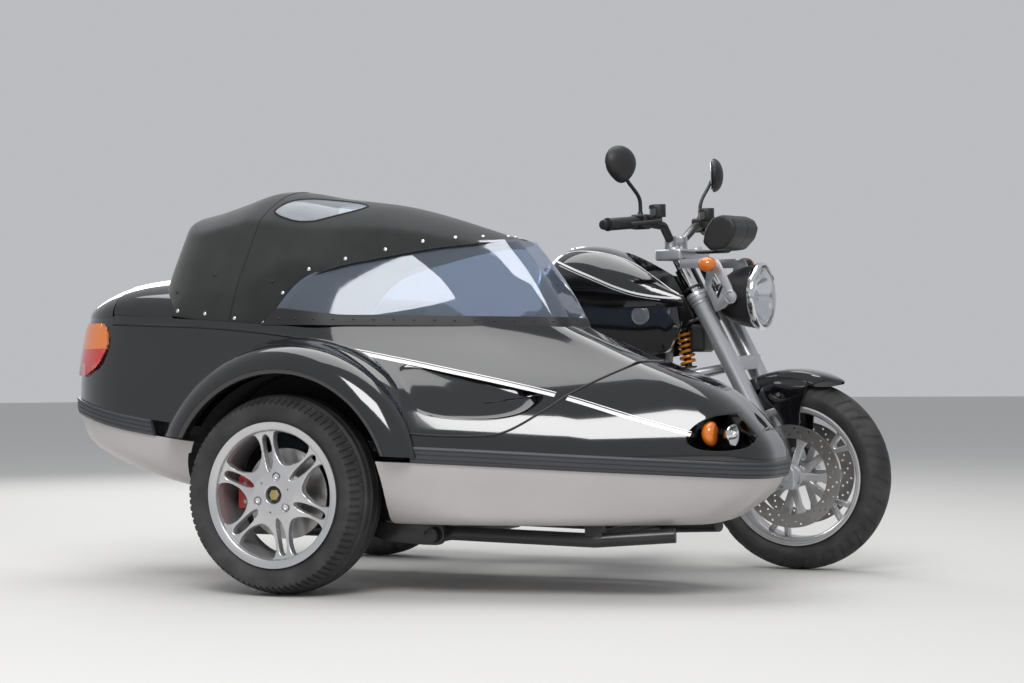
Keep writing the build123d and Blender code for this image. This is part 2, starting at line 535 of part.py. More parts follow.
fork["front_calipers"] = pair(caliper - groove - leg_room)

# Motorcycle frame, engine and body
parts["engine_block"] = block(480, 1060, -150, 150, 235, 610, 25)
fins = []
for k in range(7):
    y = 168 + k * 17
    fins.append(block(800, 1000, y, y + 8, 330, 490, 3))
cylinder = joined([block(830, 970, 150 + SEAM, 290, 350, 470)] + fins + [block(795, 1010, 290, 372, 325, 500, 18)])
parts["cylinders"] = pair(cylinder)
sections = [
    (662, 95, 120, 80, 815, 880, 975),
    (740, 110, 158, 95, 800, 900, 1036),
    (840, 122, 178, 105, 790, 900, 1042),
    (960, 124, 182, 105, 785, 885, 1004),
    (1060, 122, 176, 100, 788, 868, 952),
    (1165, 118, 160, 100, 800, 848, 882),
]
tank_faces = []
for x, low_w, wide, top_w, low_z, wide_z, top_z in sections:
    pts = [(x, -low_w, low_z), (x, -wide, wide_z), (x, -top_w, top_z), (x, top_w, top_z), (x, wide, wide_z), (x, low_w, low_z)]
    r = min(50, (top_z - wide_z) * 0.5)
    tank_faces.append(make_face(FilletPolyline(*pts, radius=[18, 16, r, r, 16, 18], close=True)))
tank = loft(tank_faces, ruled=True)
fork_room = rod((axis_x(760), 0, 760), (axis_x(1070), 0, 1070), 144)
tunnel = side_block([(640, 760), (1200, 760), (1200, 1100), (1040, 1100), (990, 850), (640, 850)], -59 - SEAM, 59 + SEAM)
panel = side_block([(650, 812), (700, 860), (1140, 840), (1150, 770), (1110, 690), (980, 665), (760, 700)], 126, 152,
                   [12, 20, 20, 30, 40, 60, 40]) - tank
panel = max(panel.solids(), key=lambda solid: solid.volume)
parts["tank_sides"] = pair(panel)
tank = tank - fork_room - tunnel
parts["rider_seat"] = side_block([(-230, 850), (-240, 818), (120, 792), (300, 750), (640, 770), (650, 850), (560, 800), (330, 795),
                                  (210, 865), (60, 880)], -140, 140, [12, 10, 60, 60, 25, 20, 60, 60, 50, 60])
parts["tail_cover"] = side_block([(-260, 820), (100, 796), (300, 755), (420, 752), (300, 690), (0, 715), (-250, 780)], -95, 95,
                                 [10, 40, 40, 12, 60, 60, 12])
rail = tube([(1040, 44, 820), (960, 48, 730), (560, 105, 700), (-180, 80, 770)], 15, [60, 120])
head = rod((axis_x(780), 0, 780), (axis_x(962), 0, 962), 32)
stem_bore = rod((axis_x(700), 0, 700), (axis_x(1000), 0, 1000), STEM_R + STEM_PLAY)
backbone = block(640, 1040, -30, 30, 700, 760)
front_casting = side_block([(1000, 640), (1060, 640), (1070, 760), (1165, 800), (1090, 940), (1050, 935), (1010, 800),
                            (900, 700), (880, 620)], -40, 40, [10, 20, 30, 10, 10, 10, 60, 60, 10])
parts["main_frame"] = joined([rail, mirrored(rail), head, backbone, front_casting]) - stem_bore
parts["fuel_tank"] = tank - parts["main_frame"]
parts["wishbone"] = joined([rod((1061, 112, 600), (1268, 16, 640), 14), rod((1061, -112, 600), (1268, -16, 640), 14),
                            rod((1268, 0, 622), (1268, 0, 658), 22)]) - block(900, 1060 + SEAM, -200, 200, 500, 700)
parts["spring_struts"] = Compound(children=[rod((1130, 0, 634), (1112, 0, 775), 28) - parts["main_frame"] - parts["wishbone"]])
parts["front_cowl"] = block(1150, 1200, -56, 56, 690, 780, 12) - parts["main_frame"] - parts["spring_struts"]
parts["tail_cover"] = parts["tail_cover"] - parts["main_frame"]
parts["rider_seat"] = parts["rider_seat"] - parts["tail_cover"] - parts["main_frame"] - parts["fuel_tank"]
drive = Pos(0, -122, REAR_TYRE_R) * Rot(90, 0, 0) * Cylinder(74, 54)
nose = rod((0, -100, REAR_TYRE_R), (0, -10 - SEAM, REAR_TYRE_R), 38)
shaft_arm = side_block([(470, 300), (470, 362), (60, 352), (0, 360), (0, 270), (60, 285)], -158, -102, [15, 20, 10, 10, 10, 10])
pivot = rod((442, -158, 331), (442, 110, 331), 30)
parts["swing_arm"] = joined([drive, nose, shaft_arm, pivot]) - block(480 - SEAM, 900, -200, 200, 200, 500)
parts["exhaust_system"] = joined([tube([(960, 235, 322), (1000, 190, 250), (900, 172, 205), (430, 150, 200), (250, 205, 255), (-140, 216, 335)],
                                       21, [30, 30, 60, 60]), rod((170, 206, 272), (-270, 218, 362), 58)])
parts["exhaust_system"] = parts["exhaust_system"] - parts["cylinders"]
peg_plate = side_block([(285, 408), (325, 408), (385, 715), (340, 715)], 112, 120, [10, 10, 10, 10])
pegs = [rod((520, 150 + SEAM, 330), (520, 225, 330), 12), rod((300, 114, 425), (300, 200, 425), 11), peg_plate]
parts["foot_rests"] = pair(joined(pegs) - parts["main_frame"])
guard_rear = side_block([(-150, 735), (-180, 770), (-330, 720), (-424, 600), (-424, 520), (-418, 520), (-418, 598), (-325, 706),
                         (-190, 752)], -70, 70)
plate_board = block(-424, -419, -95, 95, 520, 640)
plate_holes = pair(rod((-450, PLATE_HOLES / 2, 600), (-400, PLATE_HOLES / 2, 600), PLATE_HOLE_R))
parts["rear_mudguard"] = guard_rear + plate_board - plate_holes - parts["main_frame"] - parts["tail_cover"]
parts["bike_tail_lamp"] = block(-330, -245, -60, 60, 770, 830, 8) - parts["rear_mudguard"] - parts["tail_cover"]

# Sidecar frame
FRAME_Z = 172.0
FRAME_R = 20.0
FRAME_RIGHT = 172.0 - TRACK
FRAME_LEFT = -465.0
PIVOT_X = 718.0


def long_tube(y, y_end):
    return tube([(-25, y, FRAME_Z), (720, y, FRAME_Z), (1180, y, FRAME_Z - 10), (1400, y_end, FRAME_Z + 6)], FRAME_R, [60, 60])


frame_bits = [long_tube(FRAME_RIGHT, -960), long_tube(FRAME_LEFT, -560)]
for x in (60, PIVOT_X, 1180):
    frame_bits.append(rod((x, FRAME_RIGHT, FRAME_Z - 5), (x, FRAME_LEFT, FRAME_Z - 5), FRAME_R))
frame_bits.append(rod((PIVOT_X, CAR_Y + 82, FRAME_Z), (PIVOT_X, FRAME_RIGHT, FRAME_Z), FRAME_R))
for x in (60, PIVOT_X, 1180):
    for y in (FRAME_RIGHT, FRAME_LEFT - 60):
        post = block(x - 25, x + 25, y - 15, y + 15, FRAME_Z, 330)
        frame_bits.append(post)
frame_bits.append(rod((1000, FRAME_LEFT, FRAME_Z), (1000, -150 - SEAM, 300), 18))
frame_bits.append(rod((400, FRAME_LEFT, FRAME_Z), (455, -158 - SEAM, 320), 18))
frame_bits.append(rod((1010, FRAME_LEFT, FRAME_Z), (1010, -40 - SEAM, 680), 14))
frame_bits.append(rod((250, FRAME_LEFT, FRAME_Z), (500, -110, 700), 14))
eye_x = -55.0
eye = side_block([(eye_x - 30, FRAME_Z - 28), (-12, FRAME_Z - 20), (-12, FRAME_Z + 20), (eye_x - 30, FRAME_Z + 28)],
                 FRAME_RIGHT - EYE_T / 2, FRAME_RIGHT + EYE_T / 2, [20, 4, 4, 20])
frame_bits.append(eye)
chassis = joined(frame_bits) - rod((eye_x, FRAME_RIGHT - 40, FRAME_Z), (eye_x, FRAME_RIGHT + 40, FRAME_Z), EYE_R) - body_out - parts["main_frame"] - parts["engine_block"] - parts["swing_arm"]
chassis = chassis - parts["cylinders"] - parts["wishbone"]
parts["sidecar_frame"] = max(chassis.solids(), key=lambda solid: solid.volume)
arm = side_block([(PIVOT_X - 32, 142), (PIVOT_X + 32, 142), (PIVOT_X + 32, 202), (560, 202), (345, 318), (270, 318), (262, 250),
                  (330, 246), (560, 150)], CAR_Y + 104, CAR_Y + 122, [10, 25, 25, 60, 25, 25, 25, 30, 60])
arm = arm - rod((PIVOT_X, CAR_Y + 72, FRAME_Z), (PIVOT_X, CAR_Y + 272, FRAME_Z), FRAME_R + SEAM)
stub = rod((WHEEL_LEAD, CAR_Y + 112, CAR_TYRE_R), (WHEEL_LEAD, CAR_Y - 60, CAR_TYRE_R), 25.9)
parts["sidecar_swing_arm"] = arm + stub
disc_room = Pos(WHEEL_LEAD, CAR_Y + 12, CAR_TYRE_R) * Rot(90, 0, 0) * Cylinder(134, 18)
parts["sidecar_caliper"] = block(148, 232, CAR_Y - 12, CAR_Y + 40, 240, 335, 8) - disc_room

# Turn the fork and its wheel to the rest position
steer = Axis((STEER_FOOT, 0, 0), steer_dir)
fork["front_tyre"] = front_tyre
fork["front_rim"] = front_rim
fork["front_discs"] = pair(disc + carrier)
for name, solid in fork.items():
    parts[name] = solid.rotate(steer, REST_STEER)

os.makedirs("parts", exist_ok=True)
move = Location((-ORIGIN_AHEAD, ORIGIN_RIGHT, 0))
whole = []
for name, solid in parts.items():
    placed = solid.moved(move)
    whole.append(placed.bounding_box())
    export_step(placed, f"parts/{name}.step")
low = [min(getattr(box.min, axis) for box in whole) for axis in "XYZ"]
high_corner = [max(getattr(box.max, axis) for box in whole) for axis in "XYZ"]
print("box", [round(v, 1) for v in low], [round(v, 1) for v in high_corner])
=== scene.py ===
import json
from math import asin, atan2, ceil, cos, degrees, hypot, pi, radians, sin, sqrt, tan

import bpy
from mathutils import Matrix, Vector


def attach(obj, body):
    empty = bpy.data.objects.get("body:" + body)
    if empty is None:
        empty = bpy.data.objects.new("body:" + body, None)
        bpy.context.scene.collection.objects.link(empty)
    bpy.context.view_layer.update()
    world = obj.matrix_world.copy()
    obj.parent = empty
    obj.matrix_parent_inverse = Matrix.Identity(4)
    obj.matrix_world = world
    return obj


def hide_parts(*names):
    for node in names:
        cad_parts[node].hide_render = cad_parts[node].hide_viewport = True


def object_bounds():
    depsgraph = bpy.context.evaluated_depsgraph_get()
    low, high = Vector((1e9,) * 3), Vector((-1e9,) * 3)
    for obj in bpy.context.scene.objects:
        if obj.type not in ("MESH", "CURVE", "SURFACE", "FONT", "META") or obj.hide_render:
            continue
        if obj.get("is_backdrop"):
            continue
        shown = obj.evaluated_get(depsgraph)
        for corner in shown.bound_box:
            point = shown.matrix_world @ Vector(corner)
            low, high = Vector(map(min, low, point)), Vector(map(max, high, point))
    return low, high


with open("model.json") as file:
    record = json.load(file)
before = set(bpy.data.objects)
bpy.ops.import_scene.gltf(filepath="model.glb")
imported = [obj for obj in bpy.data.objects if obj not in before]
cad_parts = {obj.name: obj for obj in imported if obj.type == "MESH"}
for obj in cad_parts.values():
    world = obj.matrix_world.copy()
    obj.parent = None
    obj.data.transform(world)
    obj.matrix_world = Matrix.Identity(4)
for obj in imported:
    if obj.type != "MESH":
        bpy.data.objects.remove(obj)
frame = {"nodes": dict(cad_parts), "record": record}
cad_low, cad_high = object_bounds()
nodes = frame["nodes"]

# Lengths below are in millimetres from the rear axle: X ahead, Y to the rider's left, Z up.
# The frame's origin is this far ahead of the rear axle and to the right of the motorcycle's middle.
AHEAD = 612.0
RIGHT = 422.0
MM = 0.001

WHEELBASE = 1490.0
FRONT_Z = 300.0
REAR_Z = 315.0
BEAD_R = 221.0
LEG_Y = 98.0
STEER_FOOT = 1609.0
RAKE = radians(27.1)
REST_STEER = radians(-5.0)
NOSE_Y = -790.0
WHEEL_X = 300.0
WHEEL_Y = -1172.0
WHEEL_Z = 286.0
WHEEL_BEAD_R = 207.0


def at(x, y, z):
    return Vector(((x - AHEAD) * MM, (y + RIGHT) * MM, z * MM))


def deselect():
    if bpy.context.mode != "OBJECT":
        bpy.ops.object.mode_set(mode="OBJECT")
    bpy.ops.object.select_all(action="DESELECT")


def only(piece):
    deselect()
    piece.select_set(True)
    bpy.context.view_layer.objects.active = piece


# Materials
def node_group(name, inputs, outputs):
    group = bpy.data.node_groups.new(name, "ShaderNodeTree")
    for label, kind, value in inputs:
        socket = group.interface.new_socket(label, in_out="INPUT", socket_type=kind)
        if value is not None:
            socket.default_value = value
    for label, kind in outputs:
        group.interface.new_socket(label, in_out="OUTPUT", socket_type=kind)
    return group, group.nodes.new("NodeGroupInput"), group.nodes.new("NodeGroupOutput")


def shader_node(tree, kind, values=None, group=None):
    """A new node of a shader tree, with its inputs set."""
    made = tree.nodes.new("ShaderNode" + kind)
    if group:
        made.node_tree = group
    for label, value in (values or {}).items():
        made.inputs[label].default_value = value
    return made


def linked(tree, *pairs):
    for source, target in pairs:
        tree.links.new(source, target)


def make_grain_group():
    """Fine grain: a height for a bump, and a mask that varies slowly over the surface."""
    group, source, target = node_group(
        "fine_grain",
        [("Vector", "NodeSocketVector", None), ("Scale", "NodeSocketFloat", 400.0),
         ("Patches", "NodeSocketFloat", 6.0)],
        [("Height", "NodeSocketFloat"), ("Patch", "NodeSocketFloat")])
    fine = shader_node(group, "TexNoise", {"Detail": 3.0})
    slow = shader_node(group, "TexNoise", {"Detail": 4.0})
    linked(group, (source.outputs["Vector"], fine.inputs["Vector"]),
           (source.outputs["Scale"], fine.inputs["Scale"]), (source.outputs["Vector"], slow.inputs["Vector"]),
           (source.outputs["Patches"], slow.inputs["Scale"]), (fine.outputs["Fac"], target.inputs["Height"]),
           (slow.outputs["Fac"], target.inputs["Patch"]))
    return group


def make_weave_group():
    """Woven threads: two crossed wave patterns give a height."""
    group, source, target = node_group(
        "woven_threads",
        [("Vector", "NodeSocketVector", None), ("Scale", "NodeSocketFloat", 300.0)],
        [("Height", "NodeSocketFloat")])
    total = shader_node(group, "Math")
    total.operation = "MAXIMUM"
    for k, direction in enumerate(("X", "Z")):
        wave = shader_node(group, "TexWave", {"Distortion": 0.6, "Detail": 1.0})
        wave.bands_direction = direction
        linked(group, (source.outputs["Vector"], wave.inputs["Vector"]),
               (source.outputs["Scale"], wave.inputs["Scale"]), (wave.outputs["Fac"], total.inputs[k]))
    linked(group, (total.outputs["Value"], target.inputs["Height"]))
    return group


def make_dust_group():
    """Road dust: the dust colour mixed in over patches that noise gives."""
    group, source, target = node_group(
        "road_dust",
        [("Vector", "NodeSocketVector", None), ("Clean", "NodeSocketColor", (0.1, 0.1, 0.1, 1)),
         ("Dust", "NodeSocketColor", (0.3, 0.28, 0.25, 1)), ("Amount", "NodeSocketFloat", 0.3)],
        [("Color", "NodeSocketColor")])
    noise = shader_node(group, "TexNoise", {"Scale": 14.0, "Detail": 6.0})
    ramp = shader_node(group, "MapRange", {"From Min": 0.4, "From Max": 0.75})
    share = shader_node(group, "Math")
    share.operation = "MULTIPLY"
    mix = shader_node(group, "Mix")
    mix.data_type = "RGBA"
    linked(group, (source.outputs["Vector"], noise.inputs["Vector"]),
           (noise.outputs["Fac"], ramp.inputs["Value"]), (ramp.outputs["Result"], share.inputs[0]),
           (source.outputs["Amount"], share.inputs[1]), (share.outputs["Value"], mix.inputs["Factor"]),
           (source.outputs["Clean"], mix.inputs["A"]), (source.outputs["Dust"], mix.inputs["B"]),
           (mix.outputs["Result"], target.inputs["Color"]))
    return group


GRAIN = make_grain_group()
WEAVE = make_weave_group()
DUST = make_dust_group()


def material(name, color, rough, metallic=0.0, coat=0.0, grain=0.0, grain_scale=400.0, bump=0.0002, vary=0.15,
             dust=0.0, dust_color=(0.28, 0.26, 0.23), transmission=0.0, ior=1.5, sheen=0.0, weave=0.0,
             weave_scale=300.0, coat_rough=0.03):
    """A finish: its colour and gloss vary a little in patches, and grain or a weave gives it relief."""
    mat = bpy.data.materials.new(name)
    mat.use_nodes = True
    tree = mat.node_tree
    shader = tree.nodes["Principled BSDF"]
    coords = tree.nodes.new("ShaderNodeTexCoord")
    for label, value in (("Metallic", metallic), ("Coat Weight", coat), ("Coat Roughness", coat_rough),
                         ("Transmission Weight", transmission), ("IOR", ior), ("Sheen Weight", sheen)):
        shader.inputs[label].default_value = value
    fine = shader_node(tree, "Group", group=GRAIN)
    fine.inputs["Scale"].default_value = grain_scale
    rough_map = shader_node(tree, "MapRange", {"To Min": rough * (1 - vary), "To Max": rough * (1 + vary)})
    tint = shader_node(tree, "Mix")
    tint.data_type = "RGBA"
    tint.inputs["A"].default_value = tuple(c * (1 - vary * 0.5) for c in color) + (1,)
    tint.inputs["B"].default_value = tuple(min(1, c * (1 + vary * 0.5)) for c in color) + (1,)
    linked(tree, (coords.outputs["Object"], fine.inputs["Vector"]),
           (fine.outputs["Patch"], rough_map.inputs["Value"]),
           (rough_map.outputs["Result"], shader.inputs["Roughness"]),
           (fine.outputs["Patch"], tint.inputs["Factor"]))
    out = tint.outputs["Result"]
    if dust:
        dusty = shader_node(tree, "Group", group=DUST)
        dusty.inputs["Dust"].default_value = dust_color + (1,)
        dusty.inputs["Amount"].default_value = dust
        linked(tree, (coords.outputs["Object"], dusty.inputs["Vector"]), (out, dusty.inputs["Clean"]))
        out = dusty.outputs["Color"]
    linked(tree, (out, shader.inputs["Base Color"]))
    height = fine.outputs["Height"] if grain else None
    if weave:
        threads = shader_node(tree, "Group", group=WEAVE)
        threads.inputs["Scale"].default_value = weave_scale
        linked(tree, (coords.outputs["Object"], threads.inputs["Vector"]))
        height = threads.outputs["Height"]
    if height is not None:
        relief = shader_node(tree, "Bump", {"Strength": weave or grain, "Distance": bump})
        linked(tree, (height, relief.inputs["Height"]), (relief.outputs["Normal"], shader.inputs["Normal"]))
    return mat


BLACK = material("gloss_black_lacquer", (0.004, 0.004, 0.005), 0.10, coat=1.0, grain=0.02, grain_scale=60,
                 bump=0.0004)
SILVER = material("silver_lacquer", (0.50, 0.475, 0.47), 0.42, metallic=0.35, coat=0.25, grain=0.10,
                  grain_scale=1500, bump=0.00008, coat_rough=0.2)
STRIPE = material("stripe_white", (0.80, 0.80, 0.80), 0.2, coat=0.6)
BELT = material("belt_rubber", (0.040, 0.043, 0.050), 0.42, grain=0.25, grain_scale=500, vary=0.3)
SEAL = material("seal_rubber", (0.006, 0.006, 0.007), 0.45, grain=0.2, vary=0.3)
CANVAS = material("black_canvas", (0.011, 0.012, 0.012), 0.85, sheen=0.25, weave=0.5, weave_scale=420,
                  bump=0.0003, dust=0.18, dust_color=(0.05, 0.05, 0.05))
PIPING = material("canvas_piping", (0.008, 0.008, 0.009), 0.7, grain=0.3, grain_scale=800)
CLEAR = material("clear_screen", (0.55, 0.63, 0.76), 0.03, transmission=0.90, ior=1.5, vary=0.02)
ROOF_CLEAR = material("clear_roof_window", (0.80, 0.85, 0.92), 0.08, transmission=0.85, ior=1.3, grain=0.25,
                      grain_scale=12, bump=0.002)
TYRE = material("tyre_rubber", (0.022, 0.022, 0.023), 0.68, grain=0.35, grain_scale=700, vary=0.3, dust=0.35,
                dust_color=(0.11, 0.105, 0.10))
ALLOY = material("alloy_silver", (0.60, 0.60, 0.61), 0.30, metallic=0.75, coat=0.35, grain=0.08,
                 grain_scale=900, bump=0.0001, dust=0.12, dust_color=(0.35, 0.33, 0.30))
CASTING = material("cast_alloy", (0.40, 0.41, 0.42), 0.45, metallic=0.8, grain=0.4, grain_scale=600,
                   dust=0.25, dust_color=(0.20, 0.19, 0.17))
FORK = material("fork_silver", (0.52, 0.53, 0.55), 0.33, metallic=0.7, coat=0.2, grain=0.1, grain_scale=900,
                bump=0.0001)
CHROME = material("polished_chrome", (0.78, 0.78, 0.79), 0.06, metallic=1.0)
STEEL = material("ground_steel", (0.42, 0.41, 0.40), 0.32, metallic=1.0, grain=0.3, grain_scale=500, dust=0.2,
                 dust_color=(0.20, 0.17, 0.14))
FRAME_BLACK = material("frame_black", (0.010, 0.010, 0.011), 0.35, coat=0.2, grain=0.15, grain_scale=700,
                       dust=0.2, dust_color=(0.06, 0.055, 0.05))
PLASTIC = material("black_plastic", (0.014, 0.014, 0.015), 0.48, grain=0.35, grain_scale=1200, bump=0.00015)
LEATHER = material("seat_leather", (0.016, 0.016, 0.017), 0.55, grain=0.6, grain_scale=350, bump=0.0006,
                   vary=0.3)
TRIM = material("cabin_leather", (0.045, 0.045, 0.05), 0.6, grain=0.5, grain_scale=350, bump=0.0006)
AMBER = material("amber_lens", (0.90, 0.22, 0.01), 0.12, coat=1.0, transmission=0.25, grain=0.15,
                 grain_scale=160, bump=0.0008)
RED = material("red_lens", (0.62, 0.02, 0.012), 0.12, coat=1.0, transmission=0.2, grain=0.15, grain_scale=160,
               bump=0.0008)
LAMP_GLASS = material("lamp_glass", (0.95, 0.96, 0.97), 0.03, transmission=1.0, ior=1.45, vary=0.02)
RED_PAINT = material("caliper_red", (0.42, 0.015, 0.01), 0.3, coat=0.5, dust=0.2)
ORANGE = material("spring_orange", (0.80, 0.27, 0.015), 0.3, coat=0.5)
BRASS = material("hub_nut_yellow", (0.45, 0.36, 0.16), 0.4, metallic=0.6, grain=0.3)
MIRROR = material("mirror_glass", (0.86, 0.87, 0.88), 0.02, metallic=1.0)
GREY_LENS = material("tinted_lens", (0.45, 0.45, 0.46), 0.06, transmission=0.8, ior=1.4)
# Painted shade: a near-black matte for the walls inside the wheel well, darker than the body round it
WELL_SHADE = material("painted_well_shade", (0.010, 0.010, 0.011), 0.8, grain=0.3)
BADGE = material("plain_badge", (0.30, 0.30, 0.31), 0.25, metallic=0.8, coat=0.5)


def paint(piece, *mats):
    piece.data.materials.clear()
    for mat in mats:
        piece.data.materials.append(mat)
    return piece


def finish(piece, body, replaces=(), smooth=35.0):
    only(piece)
    if smooth:
        bpy.ops.object.shade_smooth_by_angle(angle=radians(smooth))
    deselect()
    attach(piece, body)
    if replaces:
        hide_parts(*replaces)
    return piece


# Mesh helpers
def run_steps(piece, steps):
    bpy.ops.mesh.select_all(action="SELECT")
    for operator, values in steps:
        getattr(bpy.ops.mesh, operator)(**values)
    bpy.ops.object.mode_set(mode="OBJECT")
    return piece


def edited(piece, *steps):
    """Runs mesh operators, each a pair of its name and its values, on all of a piece in edit mode."""
    only(piece)
    bpy.ops.object.mode_set(mode="EDIT")
    return run_steps(piece, steps)


def outward(piece):
    return edited(piece, ("normals_make_consistent", {"inside": False}))


def delete_faces(piece, test, *steps):
    """Deletes the faces that pass the test and runs mesh operators on what stays."""
    only(piece)
    bpy.ops.object.mode_set(mode="EDIT")
    bpy.ops.mesh.select_all(action="DESELECT")
    bpy.ops.object.mode_set(mode="OBJECT")
    for face in piece.data.polygons:
        face.select = test(face)
    bpy.ops.object.mode_set(mode="EDIT")
    bpy.ops.mesh.delete(type="FACE")
    return run_steps(piece, steps)


def shaped_grid(name, rows, closed=False, capped=False):
    """A grid primitive, its corners moved to the given rows of points (mm). Closed joins each row's ends."""
    across = len(rows[0]) + (1 if closed else 0)
    deselect()
    bpy.ops.mesh.primitive_grid_add(x_subdivisions=across - 1, y_subdivisions=len(rows) - 1, size=1)
    piece = bpy.context.object
    piece.name = name
    piece.data.name = name
    k = 0
    for row in rows:
        points = list(row) + ([row[0]] if closed else [])
        for point in points:
            piece.data.vertices[k].co = at(*point)
            k += 1
    bpy.ops.object.mode_set(mode="EDIT")
    bpy.ops.mesh.select_all(action="SELECT")
    bpy.ops.mesh.remove_doubles(threshold=0.00002)
    if capped:
        bpy.ops.mesh.fill_holes(sides=0)
        bpy.ops.mesh.select_all(action="SELECT")
        bpy.ops.mesh.normals_make_consistent(inside=False)
    bpy.ops.object.mode_set(mode="OBJECT")
    return piece


def modify(piece, kind, **values):
    only(piece)
    mod = piece.modifiers.new(kind.lower(), kind)
    for key, value in values.items():
        setattr(mod, key, value)
    bpy.ops.object.modifier_apply(modifier=mod.name)
    return piece


def smooth_surface(piece, levels=1):
    return modify(piece, "SUBSURF", levels=levels, render_levels=levels)


def copy_of(piece, name):
    twin = piece.copy()
    twin.data = piece.data.copy()
    twin.name = name
    twin.data.name = name
    bpy.context.scene.collection.objects.link(twin)
    return twin


def joined(name, pieces):
    deselect()
    for piece in pieces:
        piece.select_set(True)
    bpy.context.view_layer.objects.active = pieces[0]
    bpy.ops.object.join()
    pieces[0].name = name
    pieces[0].data.name = name
    return pieces[0]


def steer_turn():
    foot = at(STEER_FOOT, 0, 0)
    axis = Vector((-sin(RAKE), 0, cos(RAKE)))
    return Matrix.Translation(foot) @ Matrix.Rotation(REST_STEER, 4, axis) @ Matrix.Translation(-foot)


STEERED = steer_turn()


def steered(piece):
    """Turns a piece that was made straight ahead to the fork's rest position."""
    piece.data.transform(STEERED)
    return piece


WALL = bpy.data.materials.new("cut_wall")
SIDES = ((-1, "right"), (1, "left"))


def side_prism(name, outline, y_low, y_high):
    """A closed prism across the car from a side-view outline of X and Z."""
    mesh = bpy.data.meshes.new(name)
    near = [at(x, y_low, z) for x, z in outline]
    far = [at(x, y_high, z) for x, z in outline]
    n = len(outline)
    faces = [tuple(range(n)), tuple(range(2 * n - 1, n - 1, -1))]
    for k in range(n):
        faces.append((k, n + k, n + (k + 1) % n, (k + 1) % n))
    mesh.from_pydata(near + far, [], faces)
    mesh.update()
    piece = bpy.data.objects.new(name, mesh)
    bpy.context.scene.collection.objects.link(piece)
    outward(piece)
    paint(piece, WALL)
    return piece


def cut(piece, cutter, operation):
    mod = piece.modifiers.new("cut", "BOOLEAN")
    mod.operation = operation
    mod.object = cutter
    mod.solver = "EXACT"
    mod.material_mode = "TRANSFER"
    only(piece)
    bpy.ops.object.modifier_apply(modifier=mod.name)
    bpy.data.objects.remove(cutter)
    return piece


def drop_walls(piece):
    """Deletes the faces that the cutters left, so that only the outer skin stays."""
    index = piece.data.materials.find("cut_wall")
    return delete_faces(piece, lambda face: face.material_index == index,
                        ("remove_doubles", {"threshold": 0.0001}))


def curve_tube(name, points, radius, mat, body, smooth=True, sections=6):
    """A tube along points (mm) through which a smooth line passes."""
    data = bpy.data.curves.new(name, "CURVE")
    data.dimensions = "3D"
    data.bevel_depth = radius * MM
    data.bevel_resolution = 3
    data.resolution_u = sections
    data.use_fill_caps = True
    spline = data.splines.new("NURBS" if smooth else "POLY")
    spline.points.add(len(points) - 1)
    for k, point in enumerate(points):
        spline.points[k].co = (*at(*point), 1)
    if smooth:
        spline.order_u = 3
        spline.use_endpoint_u = True
    piece = bpy.data.objects.new(name, data)
    bpy.context.scene.collection.objects.link(piece)
    only(piece)
    bpy.ops.object.convert(target="MESH")
    piece = bpy.context.object
    paint(piece, mat)
    if body:
        finish(piece, body)
    return piece


def smooth_line(points, steps, closed=False):
    """Points along a smooth line through the given ones (Catmull-Rom)."""
    n = len(points)
    result = []
    spans = n if closed else n - 1
    for k in range(spans):
        if closed:
            p0, p1, p2, p3 = (points[(k + j - 1) % n] for j in range(4))
        else:
            p1 = points[k]
            p2 = points[k + 1]
            p0 = points[k - 1] if k else tuple(2 * a - b for a, b in zip(p1, p2))
            p3 = points[k + 2] if k + 2 < n else tuple(2 * b - a for a, b in zip(p1, p2))
        for s in range(steps):
            t = s / steps
            result.append(tuple(
                0.5 * (2 * b + (c - a) * t + (2 * a - 5 * b + 4 * c - d) * t * t
                       + (3 * b - a - 3 * c + d) * t ** 3)
                for a, b, c, d in zip(p0, p1, p2, p3)))
    if not closed:
        result.append(tuple(points[-1]))
    return result


def interpolated(table, z):
    """A table's row at height z, on smooth lines through its columns."""
    zs = [row[0] for row in table]
    if z <= zs[0]:
        return (z,) + tuple(table[0][1:])
    if z >= zs[-1]:
        return (z,) + tuple(table[-1][1:])
    k = max(i for i in range(len(zs) - 1) if zs[i] <= z)
    span = zs[k + 1] - zs[k]
    t = (z - zs[k]) / span
    values = []
    for c in range(1, len(table[0])):
        v1 = table[k][c]
        v2 = table[k + 1][c]
        slope = (v2 - v1) / span
        before = (v1 - table[k - 1][c]) / (zs[k] - zs[k - 1]) if k else slope
        after = (table[k + 2][c] - v2) / (zs[k + 2] - zs[k + 1]) if k + 2 < len(zs) else slope
        m1 = 0.5 * (before + slope) * span
        m2 = 0.5 * (after + slope) * span
        values.append((2 * t ** 3 - 3 * t ** 2 + 1) * v1 + (t ** 3 - 2 * t ** 2 + t) * m1
                      + (-2 * t ** 3 + 3 * t ** 2) * v2 + (t ** 3 - t ** 2) * m2)
    return (z,) + tuple(values)


# The sidecar's body by level: height, tail x, nose x, middle x, right y at the tail, right y at the middle,
# left y, front x, right y at the front, left y at the front, half width of the nose, its rounding
LEVELS = [
    (205, 430, 1500, 800, -1130, -1170, -490, 1150, -1080, -520, 130, 0.9),
    (290, -130, 1615, 640, -1110, -1225, -446, 1180, -1095, -500, 140, 0.9),
    (400, -470, 1652, 640, -1140, -1250, -430, 1200, -1115, -480, 165, 0.9),
    (495, -545, 1592, 620, -1145, -1240, -430, 1150, -1100, -490, 160, 0.9),
    (590, -560, 1475, 560, -1140, -1200, -438, 1060, -1060, -520, 145, 0.85),
    (668, -562, 1275, 460, -1125, -1155, -455, 950, -1010, -560, 130, 0.75),
    (760, -556, 1062, 350, -1100, -1108, -478, 820, -950, -620, 118, 0.6),
    (960, -505, 700, 150, -1040, -1040, -540, 480, -930, -660, 100, 0.6),
]
